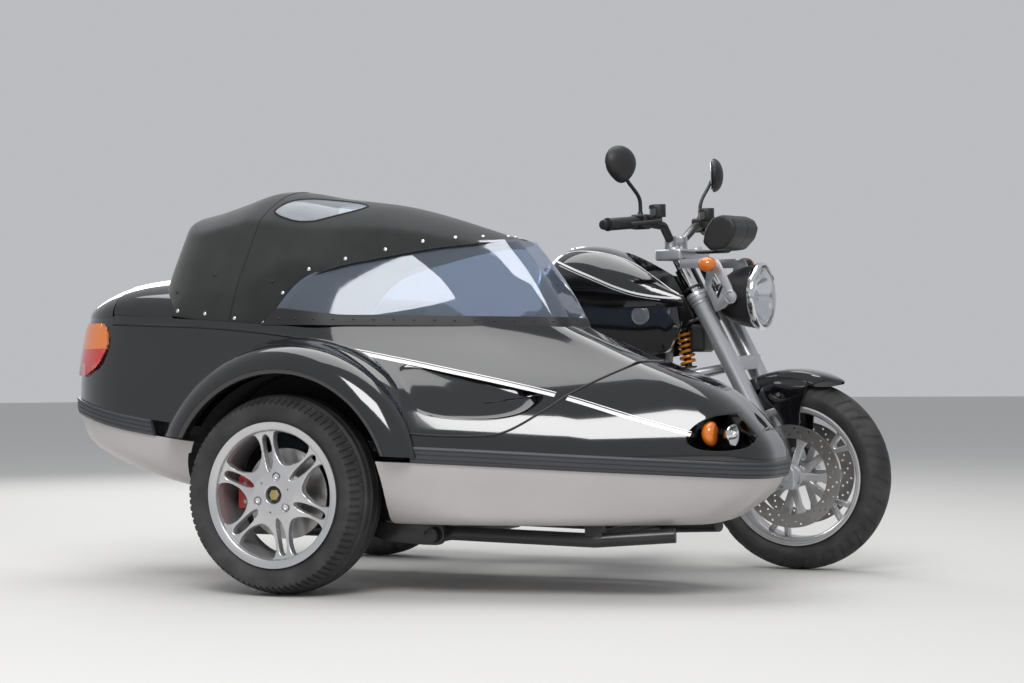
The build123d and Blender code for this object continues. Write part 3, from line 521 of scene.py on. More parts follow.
GREENHOUSE = [
    (760, -250, 1062, 350, -1100, -1108, -478, 820, -950, -620, 118, 0.5),
    (1210, -120, 735, 90, -990, -997, -583, 300, -985, -595, 82, 0.5),
]
SHUT_LINE = [(1290, 660), (1206, 617), (1128, 571), (1069, 525), (982, 471), (905, 458), (740, 463),
             (680, 485), (582, 597), (472, 695), (315, 735), (20, 768), (-342, 785)]
BELT_TOP = [(-700, 575), (-480, 557), (-170, 499), (400, 440), (760, 425), (1250, 400), (1700, 376)]
BELT_H = 46.0
BELT_MID_Z = 430.0
BELT_STEPS = 40
GLASS_FOOT = 735.0
TAIL_SHARE = 0.43
HOOD_SHARE = 0.29
SIDE_R = 700.0
ARC_STEPS = 8
# Dome of the tail: x and z of its centre, half length and height
DOME_X, DOME_Z, DOME_LONG, DOME_HIGH = -200.0, 760.0, 380.0, 170.0
DOME_FRONT = -130.0
# Bows of the soft top: x, half width, height at the side, height at the crown
BOWS = [
    (-300, 300, 935, 1040),
    (-235, 300, 960, 1086),
    (-170, 300, 980, 1114),
    (-79, 300, 1000, 1133),
    (20, 300, 1010, 1161),
    (97, 300, 1016, 1184),
    (160, 295, 1016, 1185),
    (300, 270, 1000, 1160),
    (540, 235, 965, 1122),
    (900, 140, 965, 1010),
]
SHUT_GAP = 7.0
PANEL_WALL = 6.0
LID_WALL = 5.0
WELL_R = 326.0
ARCH_R = 348.0
ARCH_X = WHEEL_X + 30.0
ARCH_Z = WHEEL_Z - 6.0
WELL_INNER_Y = -1046.0


def line_height(line, x):
    for (x0, z0), (x1, z1) in zip(line, line[1:]):
        if x0 <= x <= x1:
            return z0 + (z1 - z0) * (x - x0) / (x1 - x0)
    return line[0][1] if x < line[0][0] else line[-1][1]


def plan_outline(row, grow, tail_share=TAIL_SHARE, side_r=SIDE_R, line=6):
    """The body's outline at one level: a polygon with rounded corners, always with as many points."""
    z, tail, nose, mid, yr_tail, yr, yl, front, yr_front, yl_front, half, share = row
    tail_r = min(tail_share * (yl - yr_tail), (mid - tail) / 2)
    corners = [(tail - grow, yl + grow), (mid, yl + grow), (front, yl_front + grow),
               (nose + grow, NOSE_Y + half + grow), (nose + grow, NOSE_Y - half - grow),
               (front, yr_front - grow), (mid, yr - grow), (tail - grow, yr_tail - grow)]
    nose_r = half * share + grow
    radii = [tail_r + grow, side_r, side_r, nose_r, nose_r, side_r, side_r, tail_r + grow]
    spans = []
    n = len(corners)
    for k in range(n):
        a = Vector(corners[k - 1])
        b = Vector(corners[k])
        c = Vector(corners[(k + 1) % n])
        u = (a - b).normalized()
        w = (c - b).normalized()
        turn = pi - u.angle(w)
        length = radii[k] * tan(turn / 2)
        start = b + u * length
        end = b + w * length
        bisector = (u + w).normalized()
        centre = b + bisector * (radii[k] / cos(turn / 2)) if turn > 1e-6 else b
        points = []
        for s in range(ARC_STEPS + 1):
            t = s / ARC_STEPS
            if turn > 1e-4:
                heading = (start - centre).normalized().slerp((end - centre).normalized(), t)
                points.append(centre + heading * radii[k])
            else:
                points.append(start.lerp(end, t))
        spans.append(points)
    result = []
    for k in range(n):
        result.extend(spans[k])
        here = spans[k][-1]
        following = spans[(k + 1) % n][0]
        for s in range(1, line):
            result.append(here.lerp(following, s / line))
    return [(p.x, p.y, z) for p in result]


def body_skin(name, grow=0.0, table=LEVELS, z_low=205.0, z_high=958.0, step=24.0, tail_share=TAIL_SHARE,
              side_r=SIDE_R, foot=True):
    levels = []
    if foot:
        levels = [(z_low, -26.0), (z_low + 4, -13.0), (z_low + 12, -4.0), (z_low + 24, 0.0)]
    start = z_low + 36 if foot else z_low
    count = int(ceil((z_high - start) / step))
    levels += [(start + (z_high - start) * k / count, 0.0) for k in range(count + 1)]
    rows = [plan_outline(interpolated(table, z), grow + shrink, tail_share, side_r) for z, shrink in levels]
    return shaped_grid(name, rows, closed=True, capped=True)



def skin_point(x, z, side=-1, out=0.0):
    """The point of the body's side at x and z: side -1 is the right, 1 the left."""
    outline = plan_outline(interpolated(LEVELS, z), out)
    best = None
    for (x0, y0, _), (x1, y1, _) in zip(outline, outline[1:] + outline[:1]):
        if (x0 - x) * (x1 - x) <= 0 and x0 != x1:
            y = y0 + (y1 - y0) * (x - x0) / (x1 - x0)
            if best is None or side * y > side * best:
                best = y
    return (x, best if best is not None else NOSE_Y, z)


def offset_line(line, gap):
    """A side-view line moved to its left by the gap."""
    moved = []
    for k, (x, z) in enumerate(line):
        x0, z0 = line[max(k - 1, 0)]
        x1, z1 = line[min(k + 1, len(line) - 1)]
        length = hypot(x1 - x0, z1 - z0)
        moved.append((x - (z1 - z0) / length * gap, z + (x1 - x0) / length * gap))
    return moved


def circle_part(x, z, r, start, end):
    turns = [radians(start + (end - start) * k / 40) for k in range(41)]
    return [(x + r * cos(turn), z + r * sin(turn)) for turn in turns]


shut_line = smooth_line(SHUT_LINE, 6)
belt_top = smooth_line(BELT_TOP, 6)
belt_bottom = [(x, z - BELT_H) for x, z in belt_top]
arch_turn = degrees(asin((400 - ARCH_Z) / (ARCH_R + 10)))
well_turn = degrees(asin((400 - WHEEL_Z) / (WELL_R + 10)))
well_outline = (circle_part(ARCH_X, ARCH_Z, ARCH_R + 10, arch_turn, 180 - arch_turn)
                + circle_part(WHEEL_X, WHEEL_Z, WELL_R + 10, 180 - well_turn, 360 + well_turn))
rim_back = [(1100, 762), (170, 775), (-342, 812)]
upper_outline = belt_top + [(1760, 500), (1760, 762)] + rim_back + [(-342, 806), (-760, 806)]
lower_outline = belt_bottom + [(1760, 150), (-760, 150)]
cover_outline = shut_line + rim_back[::-1] + [(1400, 762)]
gap_line = offset_line(shut_line, SHUT_GAP)
gap_outline = [(1400, 700)] + gap_line + [(-360, 1000), (1400, 1000)]

guide = body_skin("body_guide")
paint(guide, BLACK)
only(guide)
bpy.ops.object.shade_smooth()


def body_panel(name, mat, cuts):
    """A panel of the body's skin: cuts are (side outline, y from, y to, operation, wall material)."""
    piece = copy_of(guide, name)
    paint(piece, mat)
    for outline, y_low, y_high, operation, wall in cuts:
        prism = side_prism("cutter", outline, y_low, y_high)
        paint(prism, wall)
        cut(piece, prism, operation)
    drop_walls(piece)
    modify(piece, "SOLIDIFY", thickness=PANEL_WALL * MM, offset=-1, use_even_offset=False)
    only(piece)
    bpy.ops.object.material_slot_remove_unused()
    bpy.ops.object.shade_smooth_by_angle(angle=radians(40))
    modify(piece, "DATA_TRANSFER", object=guide, use_loop_data=True, data_types_loops={"CUSTOM_NORMAL"},
           loop_mapping="POLYINTERP_NEAREST", use_max_distance=True, max_distance=0.0015)
    return piece


ALL_Y = (-1500, 0)
# The wheel well's cut walls get the painted shade: near-black inside the well, where shade falls
WELL_CUT = (well_outline, -1500, WELL_INNER_Y + 10, "DIFFERENCE", WELL_SHADE)
SCOOP = [(655, 654), (1040, 577), (1060, 566), (1058, 548), (1022, 517), (970, 502), (900, 497), (800, 503),
         (735, 520), (700, 560)]
scoop_line = smooth_line(SCOOP, 5, closed=True)
POD = [(1452, 440), (1466, 478), (1510, 505), (1570, 512), (1606, 488), (1620, 450), (1606, 424), (1560, 413),
       (1490, 416)]
pod_line = smooth_line(POD, 5, closed=True)
pod_cuts = [(pod_line, -1200, -900, "DIFFERENCE", WALL), (pod_line, -680, -380, "DIFFERENCE", WALL)]
scoop_cuts = [(scoop_line, -1300, -1000, "DIFFERENCE", WALL), (scoop_line, -580, -300, "DIFFERENCE", WALL)]

tub = body_panel("silver_tub", SILVER, [(lower_outline, *ALL_Y, "INTERSECT", WALL), WELL_CUT])
finish(tub, "outfit", ["lower_body"], smooth=None)
shoulder = body_panel("black_body", BLACK, [
    (upper_outline, *ALL_Y, "INTERSECT", WALL), (gap_outline, *ALL_Y, "DIFFERENCE", WALL),
    WELL_CUT] + pod_cuts)
finish(shoulder, "outfit", ["upper_body"], smooth=None)
cover = body_panel("canopy_panel", BLACK, [(cover_outline, *ALL_Y, "INTERSECT", WALL)] + scoop_cuts)
finish(cover, "canopy", ["canopy_cover"], smooth=None)


def recess(name, line, side, insets, centre, mat, body):
    """A dished recess: rings of the outline, each drawn in towards the centre and set in from the skin."""
    rows = []
    for share, inset in insets:
        row = []
        for x, z in line:
            px = centre[0] + (x - centre[0]) * share
            pz = centre[1] + (z - centre[1]) * share
            depth = inset * centre[2](px)
            row.append(skin_point(px, pz, side, -depth))
        rows.append(row)
    piece = shaped_grid(name, rows, closed=True, capped=False)
    outward(piece)
    if sum(p.normal.y for p in piece.data.polygons) * side < 0:
        piece.data.flip_normals()
    paint(piece, mat)
    modify(piece, "SOLIDIFY", thickness=3 * MM, offset=-1)
    return finish(piece, body, smooth=50)


def scoop_depth(x):
    return 0.25 + 0.75 * max(0.0, min(1.0, (x - 680) / 340))


for side, tag in SIDES:
    recess("scoop_" + tag, scoop_line, side,
           [(1.0, 0), (0.985, 2), (0.965, 9), (0.93, 19), (0.86, 25), (0.6, 28), (0.3, 29), (0.01, 29)],
           (900, 545, scoop_depth), BLACK, "canopy")


def pod_depth(x):
    return 0.55 + 0.45 * max(0.0, min(1.0, (1600 - x) / 120))


for side, tag in SIDES:
    recess("lamp_pod_" + tag, pod_line, side,
           [(1.0, 0), (0.99, 3), (0.975, 12), (0.95, 60), (0.92, 96), (0.85, 104), (0.5, 106), (0.01, 106)],
           (1540, 460, pod_depth), BLACK, "outfit")


# Belt: a ribbed rubber strip along the body's widest line
BELT_PROFILE = [(-3, 23), (4, 23), (7, 22), (9, 19), (9, 15), (7.5, 14.2), (7.5, 12.8), (9, 12), (9, 3),
                (7.5, 2.2), (7.5, 0.8), (9, 0), (9, -10), (7.5, -10.8), (7.5, -12.2), (9, -13), (8.5, -18),
                (6, -22), (-3, -23)]


def belt_point(k, out, dz):
    """Point k of the strip: its height and its place depend on each other, so they are found in turns."""
    z = BELT_MID_Z
    for _ in range(6):
        outline = plan_outline(interpolated(LEVELS, z), out, line=BELT_STEPS)
        z = line_height(belt_top, outline[k % len(outline)][0]) - BELT_H / 2 + dz
    outline = plan_outline(interpolated(LEVELS, z), out, line=BELT_STEPS)
    return (*outline[k % len(outline)][:2], z)


def belt_rows(first, last):
    return [[belt_point(k, out, dz) for out, dz in BELT_PROFILE] for k in range(first, last + 1)]


# The belt stops on both sides of the wheel well
track = plan_outline(interpolated(LEVELS, BELT_MID_Z), 0, line=BELT_STEPS)
count = len(track)
free = [k for k, (x, y, _) in enumerate(track) if not (y < -900 and -120 < x < 700)]
runs = []
for k in free:
    if runs and k == runs[-1][1] + 1:
        runs[-1][1] = k
    else:
        runs.append([k, k])
if len(runs) > 1 and runs[0][0] == 0 and runs[-1][1] == count - 1:
    first = runs.pop(0)
    runs[-1][1] += first[1] + 1
belt_parts = [shaped_grid("belt", belt_rows(*run), closed=True, capped=True) for run in runs]
belt = joined("belt_strip_ribbed", belt_parts)
paint(belt, BELT)
finish(belt, "outfit", ["belt_strip"], smooth=40)


# Wheel cover: a broad flare with a rolled lip, its wall running back into the body
FLARE = [(349, -1252), (348, -1274), (349, -1282), (354, -1286), (366, -1287), (384, -1283), (404, -1272),
         (420, -1256), (430, -1238), (434, -1222), (437, -1204), (444, -1190), (452, -1170), (452, -1120)]
FLARE_IN = [(440, -1120), (440, -1164), (430, -1186), (424, -1204), (420, -1222), (410, -1244), (396, -1260),
            (380, -1271), (364, -1275), (357, -1272), (356, -1252)]
rows = []
for turn in range(0, 205, 4):
    theta = radians(turn + 6)
    rows.append([(ARCH_X + r * cos(theta), y, ARCH_Z + r * sin(theta)) for r, y in FLARE + FLARE_IN])
flare = shaped_grid("wheel_flare", rows, closed=True, capped=True)
paint(flare, BLACK)
flare_keep = side_prism("cutter", [(ARCH_X + 600, 386), (ARCH_X + 600, 900), (ARCH_X - 600, 900),
                                   (ARCH_X - 600, 470), (ARCH_X - 380, 452), (ARCH_X, 420)], -1400, -1000)
paint(flare_keep, BLACK)
cut(flare, flare_keep, "INTERSECT")
finish(flare, "outfit", ["wheel_arch"], smooth=50)

# Tail's dome: it rises from the body's rim and rounds over to a crown; its rear part is the boot lid
def crown_height(x):
    return DOME_Z + DOME_HIGH * sqrt(max(0.0, 1 - ((x - DOME_X) / DOME_LONG) ** 2))


def ray_hit(outline, centre, angle):
    """Where a ray from the centre leaves a plan outline."""
    dx, dy = cos(angle), sin(angle)
    for (x0, y0, _), (x1, y1, _) in zip(outline, outline[1:] + outline[:1]):
        ex, ey = x1 - x0, y1 - y0
        det = dx * ey - dy * ex
        if abs(det) < 1e-9:
            continue
        reach = ((x0 - centre[0]) * ey - (y0 - centre[1]) * ex) / det
        share = ((x0 - centre[0]) * dy - (y0 - centre[1]) * dx) / det
        if reach > 0 and -1e-6 <= share <= 1 + 1e-6:
            return (centre[0] + dx * reach, centre[1] + dy * reach)
    return None


# Shares of the way from the dome's edge to its crown, close together where it turns most
DOME_STEPS = (0, 0.006, 0.015, 0.03, 0.05, 0.08, 0.12, 0.17, 0.23, 0.3, 0.38, 0.47, 0.57, 0.68, 0.8, 0.9, 1.0)
DOME_POWER = 2.15


def tail_dome(name, base_height):
    """The tail's dome from its edge at the body's rim to its crown."""
    centre = (DOME_FRONT, NOSE_Y)
    outline = plan_outline(interpolated(LEVELS, 800.0), 0.0)
    rows = []
    for t in DOME_STEPS:
        rise = (1 - (1 - t) ** DOME_POWER) ** (1 / DOME_POWER)
        row = []
        for k in range(61):
            angle = radians(90 + 3 * k)
            x, y = ray_hit(outline, centre, angle)
            spine = DOME_FRONT - 290 * abs(cos(angle))
            px = x + (spine - x) * t
            low = base_height(x)
            row.append((px, y + (NOSE_Y - y) * t, low + (crown_height(px) - low) * rise))
        rows.append(row)
    piece = shaped_grid(name, rows)
    outward(piece)
    if sum(p.normal.z for p in piece.data.polygons) < 0:
        piece.data.flip_normals()
    return piece


def split_at(piece, x, keep_rear):
    """Cuts a skin at a plane across the body and gives the part that stays its wall."""
    edited(piece, ("bisect", {"plane_co": at(x, 0, 0), "plane_no": (1, 0, 0), "clear_outer": keep_rear,
                              "clear_inner": not keep_rear}))
    return modify(piece, "SOLIDIFY", thickness=LID_WALL * MM, offset=-1)


lid = split_at(tail_dome("boot_lid_panel", lambda x: 805.0), -349, True)
paint(lid, BLACK)
finish(lid, "boot_lid_body", ["boot_lid"], smooth=50)
shoulder_dome = split_at(tail_dome("canopy_shoulder", lambda x: 812 - (x + 342) * 37 / 512), -342, False)
paint(shoulder_dome, BLACK)
finish(shoulder_dome, "canopy", smooth=50)


# Seal in the shut line round the canopy, and the pinstripes
def seal_path():
    mid = offset_line(shut_line, SHUT_GAP / 2)
    right = [skin_point(x, z, -1, -1.5) for x, z in mid[::-1] if x < 1270]
    left = [skin_point(x, z, 1, -1.5) for x, z in mid if x < 1270]
    front = [p for p in plan_outline(interpolated(LEVELS, 655.0), -1.5) if p[0] > 1272]
    front.sort(key=lambda p: p[1])
    return right + front + left


curve_tube("shut_seal", seal_path(), 3.6, SEAL, "outfit", sections=2)

STRIPE_LINE = [(452, 699), (640, 662), (790, 631), (960, 595), (1125, 556), (1300, 503), (1400, 474),
               (1462, 456)]


def ribbon(name, line, low, high, side, body):
    """A painted line: a thin strip on the skin between two offsets from a side-view line."""
    below = offset_line(line, low)
    above = offset_line(line, high)
    rows = []
    for (xa, za), (xb, zb) in zip(below, above):
        rows.append([skin_point(xa, za, side, 0.35), skin_point((xa + xb) / 2, (za + zb) / 2, side, 0.5),
                     skin_point(xb, zb, side, 0.35)])
    piece = shaped_grid(name, rows)
    paint(piece, STRIPE)
    if sum(p.normal.y for p in piece.data.polygons) * side < 0:
        piece.data.flip_normals()
    modify(piece, "SOLIDIFY", thickness=0.3 * MM, offset=-1)
    return finish(piece, body)


stripe = smooth_line(STRIPE_LINE, 5)
behind_shut = [p for p in stripe if p[0] < 1096]
ahead_shut = [p for p in stripe if p[0] > 1112]
for side, tag in SIDES:
    for part, line, body in (("canopy", behind_shut, "canopy"), ("nose", ahead_shut, "outfit")):
        ribbon("stripe_%s_%s" % (part, tag), line, -4.5, 4.0, side, body)
        ribbon("stripe_thin_%s_%s" % (part, tag), line, 7.0, 9.0, side, body)


# Finishes of the nodes that stay as they are
SLOT_FINISH = {
    "gloss_black": BLACK, "silver_paint": SILVER, "belt_rubber": BELT, "canvas": CANVAS,
    "clear_screen": CLEAR, "tyre_rubber": TYRE, "wheel_silver": ALLOY, "disc_steel": STEEL,
    "fork_silver": FORK, "frame_black": FRAME_BLACK, "engine_cast": CASTING, "black_plastic": PLASTIC,
    "seat_cover": LEATHER, "cabin_trim": TRIM, "exhaust_steel": CHROME, "caliper_red": RED_PAINT,
    "caliper_gold": CASTING, "spring_orange": ORANGE, "lamp_amber": AMBER, "lamp_red": RED,
    "lamp_clear": LAMP_GLASS, "chrome": CHROME,
}
node_slot = {entry["node"]: entry["material_slot"] for entry in frame["record"]["subparts"]}
for name, node in nodes.items():
    finish_of = SLOT_FINISH.get(node_slot.get(name), PLASTIC)
    if node.data.materials:
        for k in range(len(node.data.materials)):
            node.data.materials[k] = finish_of
    else:
        node.data.materials.append(finish_of)


def node_copy(node, name, *steps):
    """A copy of a CAD node's mesh as a free piece, its doubled corners merged before further operators."""
    piece = copy_of(nodes[node], name)
    piece.parent = None
    for key in list(piece.keys()):
        del piece[key]
    return edited(piece, ("remove_doubles", {"threshold": 0.00005}), *steps)


def dressed(node, name, mat, bevel=1.5, angle=35, segments=2):
    """A merged copy of a CAD node with rounded edges, standing for the node."""
    to_quads = ("tris_convert_to_quads", {"face_threshold": radians(1), "shape_threshold": radians(180)})
    piece = paint(node_copy(node, name, to_quads), mat)
    if bevel:
        modify(piece, "BEVEL", width=bevel * MM, segments=segments, limit_method="ANGLE",
               angle_limit=radians(angle), use_clamp_overlap=True, harden_normals=False)
    return finish(piece, BODY_OF[node], [node], smooth=angle)


BODY_OF = {}
for body, members in frame["record"]["behaviour"]["bodies"].items():
    for name in members:
        BODY_OF[name] = body


# Soft top: canvas drawn over bows, cut from one continuous skin
def bows_form(name):
    rows = []
    xs = [BOWS[0][0] + (BOWS[-1][0] - BOWS[0][0]) * k / 60 for k in range(61)]
    for x in xs:
        _, half, side, crown = interpolated(BOWS, x)
        rise = crown - side
        radius = (half * half + rise * rise) / (2 * rise)
        spread = asin(min(1.0, half / radius))
        row = [(x, NOSE_Y - half, 700), (x, NOSE_Y - half, side)]
        for s in range(1, 24):
            turn = -spread + 2 * spread * s / 24
            row.append((x, NOSE_Y + radius * sin(turn), crown - radius + radius * cos(turn)))
        row += [(x, NOSE_Y + half, side), (x, NOSE_Y + half, 700)]
        rows.append(row)
    return shaped_grid(name, rows, closed=True, capped=True)


def glazed_skin(name, grow, z_low, z_high, step):
    """The form of the screen and the top above the body's rim."""
    table = [(GLASS_FOOT,) + GREENHOUSE[0][1:]] + GREENHOUSE
    return body_skin(name, grow=grow, table=table, z_low=z_low, z_high=z_high, step=step,
                     tail_share=HOOD_SHARE, side_r=300.0, foot=False)


def canvas_skin():
    skin = glazed_skin("canvas_skin", 6.0, GLASS_FOOT, 1209.0, 24.0)
    paint(skin, CANVAS)
    form = bows_form("bows")
    paint(form, CANVAS)
    cut(skin, form, "INTERSECT")
    modify(skin, "REMESH", mode="VOXEL", voxel_size=0.008)
    modify(skin, "SMOOTH", factor=0.5, iterations=14)
    return skin


def touch(skin, x, z, side):
    """Where a line across the car meets the skin from the right (-1) or the left (1), and the normal."""
    start = at(x, NOSE_Y + side * 900, z)
    found, place, normal, _ = skin.ray_cast(start, Vector((0, -side, 0)))
    return (place, normal) if found else (None, None)


def edge_tube(skin, name, radius, mat, body, select):
    """A tube along the chosen edges of a skin."""
    twin = copy_of(skin, name)
    only(twin)
    bpy.ops.object.mode_set(mode="EDIT")
    bpy.ops.mesh.select_mode(type="EDGE")
    bpy.ops.mesh.select_all(action="DESELECT")
    select()
    bpy.ops.mesh.select_all(action="INVERT")
    bpy.ops.mesh.delete(type="EDGE")
    bpy.ops.mesh.select_all(action="SELECT")
    bpy.ops.mesh.remove_doubles(threshold=0.002)
    bpy.ops.mesh.select_mode(type="VERT")
    bpy.ops.object.mode_set(mode="OBJECT")
    bpy.ops.object.convert(target="CURVE")
    tube = bpy.context.object
    tube.data.bevel_depth = radius * MM
    tube.data.bevel_resolution = 2
    tube.data.use_fill_caps = True
    only(tube)
    bpy.ops.object.convert(target="MESH")
    tube = bpy.context.object
    paint(tube, mat)
    return finish(tube, body, smooth=60)


def choose_rim():
    bpy.ops.mesh.select_non_manifold(extend=False, use_wire=False, use_boundary=True, use_multi_face=False,
                                     use_non_contiguous=False, use_verts=False)


HOOD_EDGE = [(-420, 816), (-151, 806), (-28, 789), (77, 772), (140, 760), (168, 757), (192, 762), (212, 780),
             (239, 821), (268, 855), (294, 884), (324, 907), (360, 926), (421, 945), (532, 966), (673, 990),
             (797, 1001), (880, 1003)]
hood_edge = smooth_line(HOOD_EDGE, 4)
hood_outline = hood_edge + [(884, 1006), (862, 1100), (862, 1300), (-420, 1300)]
canvas = canvas_skin()
cloth_edge = side_prism("cutter", hood_outline, -1500, 0)
cut(canvas, cloth_edge, "INTERSECT")
ROOF_WINDOW = [(168, 1112), (205, 1150), (304, 1148), (425, 1124), (330, 1086), (288, 1077), (235, 1082)]
window_line = smooth_line(ROOF_WINDOW, 4, closed=True)
drop_walls(canvas)
skin_for_studs = copy_of(canvas, "canvas_guide")
for side, tag in SIDES:
    y_low, y_high = (-1500, NOSE_Y - 60) if side < 0 else (NOSE_Y + 60, 0)
    pane = copy_of(canvas, "roof_window_" + tag)
    hole = side_prism("cutter", window_line, y_low, y_high)
    cut(canvas, hole, "DIFFERENCE")
    hole = side_prism("cutter", window_line, y_low, y_high)
    cut(pane, hole, "INTERSECT")
    drop_walls(pane)
    paint(pane, ROOF_CLEAR)
    edge_tube(pane, "window_welt_" + tag, 2.2, PIPING, "canopy", choose_rim)
    modify(pane, "SOLIDIFY", thickness=1.0 * MM, offset=-1)
    finish(pane, "canopy", smooth=60)
drop_walls(canvas)
paint(canvas, CANVAS)
edge_tube(canvas, "canvas_piping", 3.0, PIPING, "canopy", choose_rim)


def choose_plane(point, normal):
    def select():
        bpy.ops.mesh.select_all(action="SELECT")
        bpy.ops.mesh.bisect(plane_co=at(*point), plane_no=normal)
    return select


edge_tube(canvas, "canvas_seam_bow", 1.5, PIPING, "canopy",
          choose_plane((110, NOSE_Y, 965), (1, 0, -0.25)))
modify(canvas, "SOLIDIFY", thickness=2.5 * MM, offset=-1)
finish(canvas, "canopy", ["soft_top"], smooth=60)

# Press studs along the canvas edges
STUDS_FRONT = [(237, 865), (316, 933), (419, 962), (530, 988), (636, 1010), (726, 1020), (795, 1023),
               (847, 1025), (885, 1025)]
STUDS_REAR = [(-112, 818), (-17, 808), (84, 793), (178, 778)]
STUDS_DARK = [(10, 924), (205, 900), (-124, 876)]


def stud(place, normal, mat, radius):
    deselect()
    bpy.ops.mesh.primitive_uv_sphere_add(segments=14, ring_count=8, radius=radius * MM)
    piece = bpy.context.object
    for v in piece.data.vertices:
        v.co.z = max(v.co.z, -0.0008) * (0.55 if v.co.z > 0 else 1)
    turn = normal.to_track_quat("Z", "Y").to_matrix().to_4x4()
    piece.data.transform(Matrix.Translation(place + normal * 0.001) @ turn)
    paint(piece, mat)
    return piece


def studs_at(skin, table, mat, radius, sunk=0.0):
    """Domed heads on both sides of a skin, at places in side view."""
    heads = []
    for x, z in table:
        for side in (-1, 1):
            place, normal = touch(skin, x, z, side)
            if place:
                heads.append(stud(place - normal * sunk * MM, normal, mat, radius))
    return heads


for mat, tag, table, radius in ((CHROME, "bright", STUDS_FRONT + STUDS_REAR, 6.2),
                                (PLASTIC, "dark", STUDS_DARK, 5.5)):
    heads = studs_at(skin_for_studs, table, mat, radius)
    finish(joined("canvas_studs_" + tag, heads), "canopy", smooth=40)
bpy.data.objects.remove(skin_for_studs)


def walled(piece, thick):
    """Gives a skin its wall and drops the cutters' material."""
    modify(piece, "SOLIDIFY", thickness=thick * MM, offset=-1)
    bpy.ops.object.material_slot_remove_unused()


# Screen: a clear wrap-round pane with a dark riveted strip along its foot
screen_form = glazed_skin("screen_form", -2.0, 740.0, 1060.0, 20.0)
GLASS_LINE = [(194, 782), (213, 800), (242, 838), (276, 880), (310, 910), (360, 938), (421, 957), (532, 978),
              (673, 1001), (797, 1011), (940, 1013)]
screen_outline = [(1400, 1013), (1400, 757), (1100, 760), (188, 773)] + smooth_line(GLASS_LINE, 3)
paint(screen_form, CLEAR)
screen = copy_of(screen_form, "windscreen_pane")
cut(screen, side_prism("cutter", screen_outline, -1500, 0), "INTERSECT")
drop_walls(screen)
walled(screen, 3.5)
finish(screen, "canopy", ["windscreen"], smooth=50)
strip_form = glazed_skin("screen_strip", -0.2, 740.0, 840.0, 10.0)
paint(strip_form, PLASTIC)
strip_outline = [(180, 772), (1100, 757), (1400, 757), (1400, 783), (1100, 784), (420, 799), (232, 822)]
cut(strip_form, side_prism("cutter", strip_outline, -1500, 0), "INTERSECT")
drop_walls(strip_form)
strip_guide = copy_of(strip_form, "strip_guide")
walled(strip_form, 1.6)
finish(strip_form, "canopy", smooth=50)
rivet_row = [(240 + 56 * k, 790 - 56 * k * 18 / 860) for k in range(15)]
rivets = studs_at(strip_guide, rivet_row, FRAME_BLACK, 3.6, sunk=0.8)
finish(joined("screen_rivets", rivets), "canopy", smooth=40)
bpy.data.objects.remove(strip_guide)
bpy.data.objects.remove(screen_form)


# Wheels
def wheel_at(x, z):
    """Places a point of radius r and angle a (degrees from straight ahead, up positive) in side view."""
    def place(r, a):
        return (x + r * cos(radians(a)), z + r * sin(radians(a)))
    return place


def turned_ring(name, profile, x, z, segments, mat=None):
    """A closed ring turned about a wheel's axis from (radius, y) points."""
    rows = []
    for k in range(segments + 1):
        a = 2 * pi * (k % segments) / segments
        rows.append([(x + r * cos(a), y, z + r * sin(a)) for r, y in profile])
    piece = shaped_grid(name, rows, closed=True)
    outward(piece)
    if mat:
        paint(piece, mat)
    return piece


def tyre_profile(radius, width, flange, crown):
    """Half of the outside, from the crown's middle to the bead, as (radius, y, share of the way round)."""
    c = crown
    h = width / 2
    rho = (c * c + h * h) / (2 * c)
    phi = atan2(h, rho - c)
    out = []
    points = 17
    for k in range(points):
        a = phi * k / (points - 1)
        out.append((radius - rho + rho * cos(a), rho * sin(a), k / (points - 1)))
    side = radius - crown
    foot = flange + 1
    for k in range(1, 8):
        t = k / 7
        r = side + (foot - side) * t
        bulge = h * (1 - t) * (1 - 2 * t) + 4 * t * (1 - t) * width * 0.475 + t * (2 * t - 1) * width * 0.38
        out.append((r, bulge, 1 + t))
    return out


def make_tyre(name, centre, width, flange, crown, pitches, steps, groove):
    """A tyre as one grid: groove(step, share, side, width) gives the tread's depth and slant there in mm."""
    x, y, z = centre
    radius = z
    half = tyre_profile(radius, width, flange, crown)
    bead = [(flange - 5, width * 0.37, 2.2), (flange - 11, width * 0.34, 2.4)]
    profile = [(r, -w, s) for r, w, s in (bead[::-1] + half[::-1][:-1])]
    profile = [(r, w, s, -1) for r, w, s in profile] + [(r, w, s, 1) for r, w, s in half + bead]
    rows = []
    total = pitches * len(steps)
    for k in range(total + 1):
        turn = (k % total) // len(steps) + steps[k % len(steps)]
        row = []
        for r, w, s, side in profile:
            depth, slant = groove(k % len(steps), s, side, abs(w))
            a = 2 * pi * turn / pitches + slant / radius
            row.append((x + (r - depth) * cos(a), y + w, z + (r - depth) * sin(a)))
        rows.append(row)
    piece = shaped_grid(name, rows, closed=True)
    outward(piece)
    paint(piece, TYRE)
    return piece


def car_groove(step, share, side, w):
    """Road tread: three ribs' channels round the crown and short slots over each shoulder."""
    if share > 1.9:
        return 0.0, 0.0
    depth = 0.0
    if share < 0.72 and (13 < w < 22 or 44 < w < 53):
        depth = 6.0
    if 0.60 < share < 1.28 and step in (2, 3):
        depth = max(depth, 4.0 if share < 1.1 else 2.0)
    if share > 1.3:
        depth = -0.9 if 1.40 < share < 1.46 or 1.80 < share < 1.88 else 0.0
    return depth, 3.0 * side * min(share, 1.0)


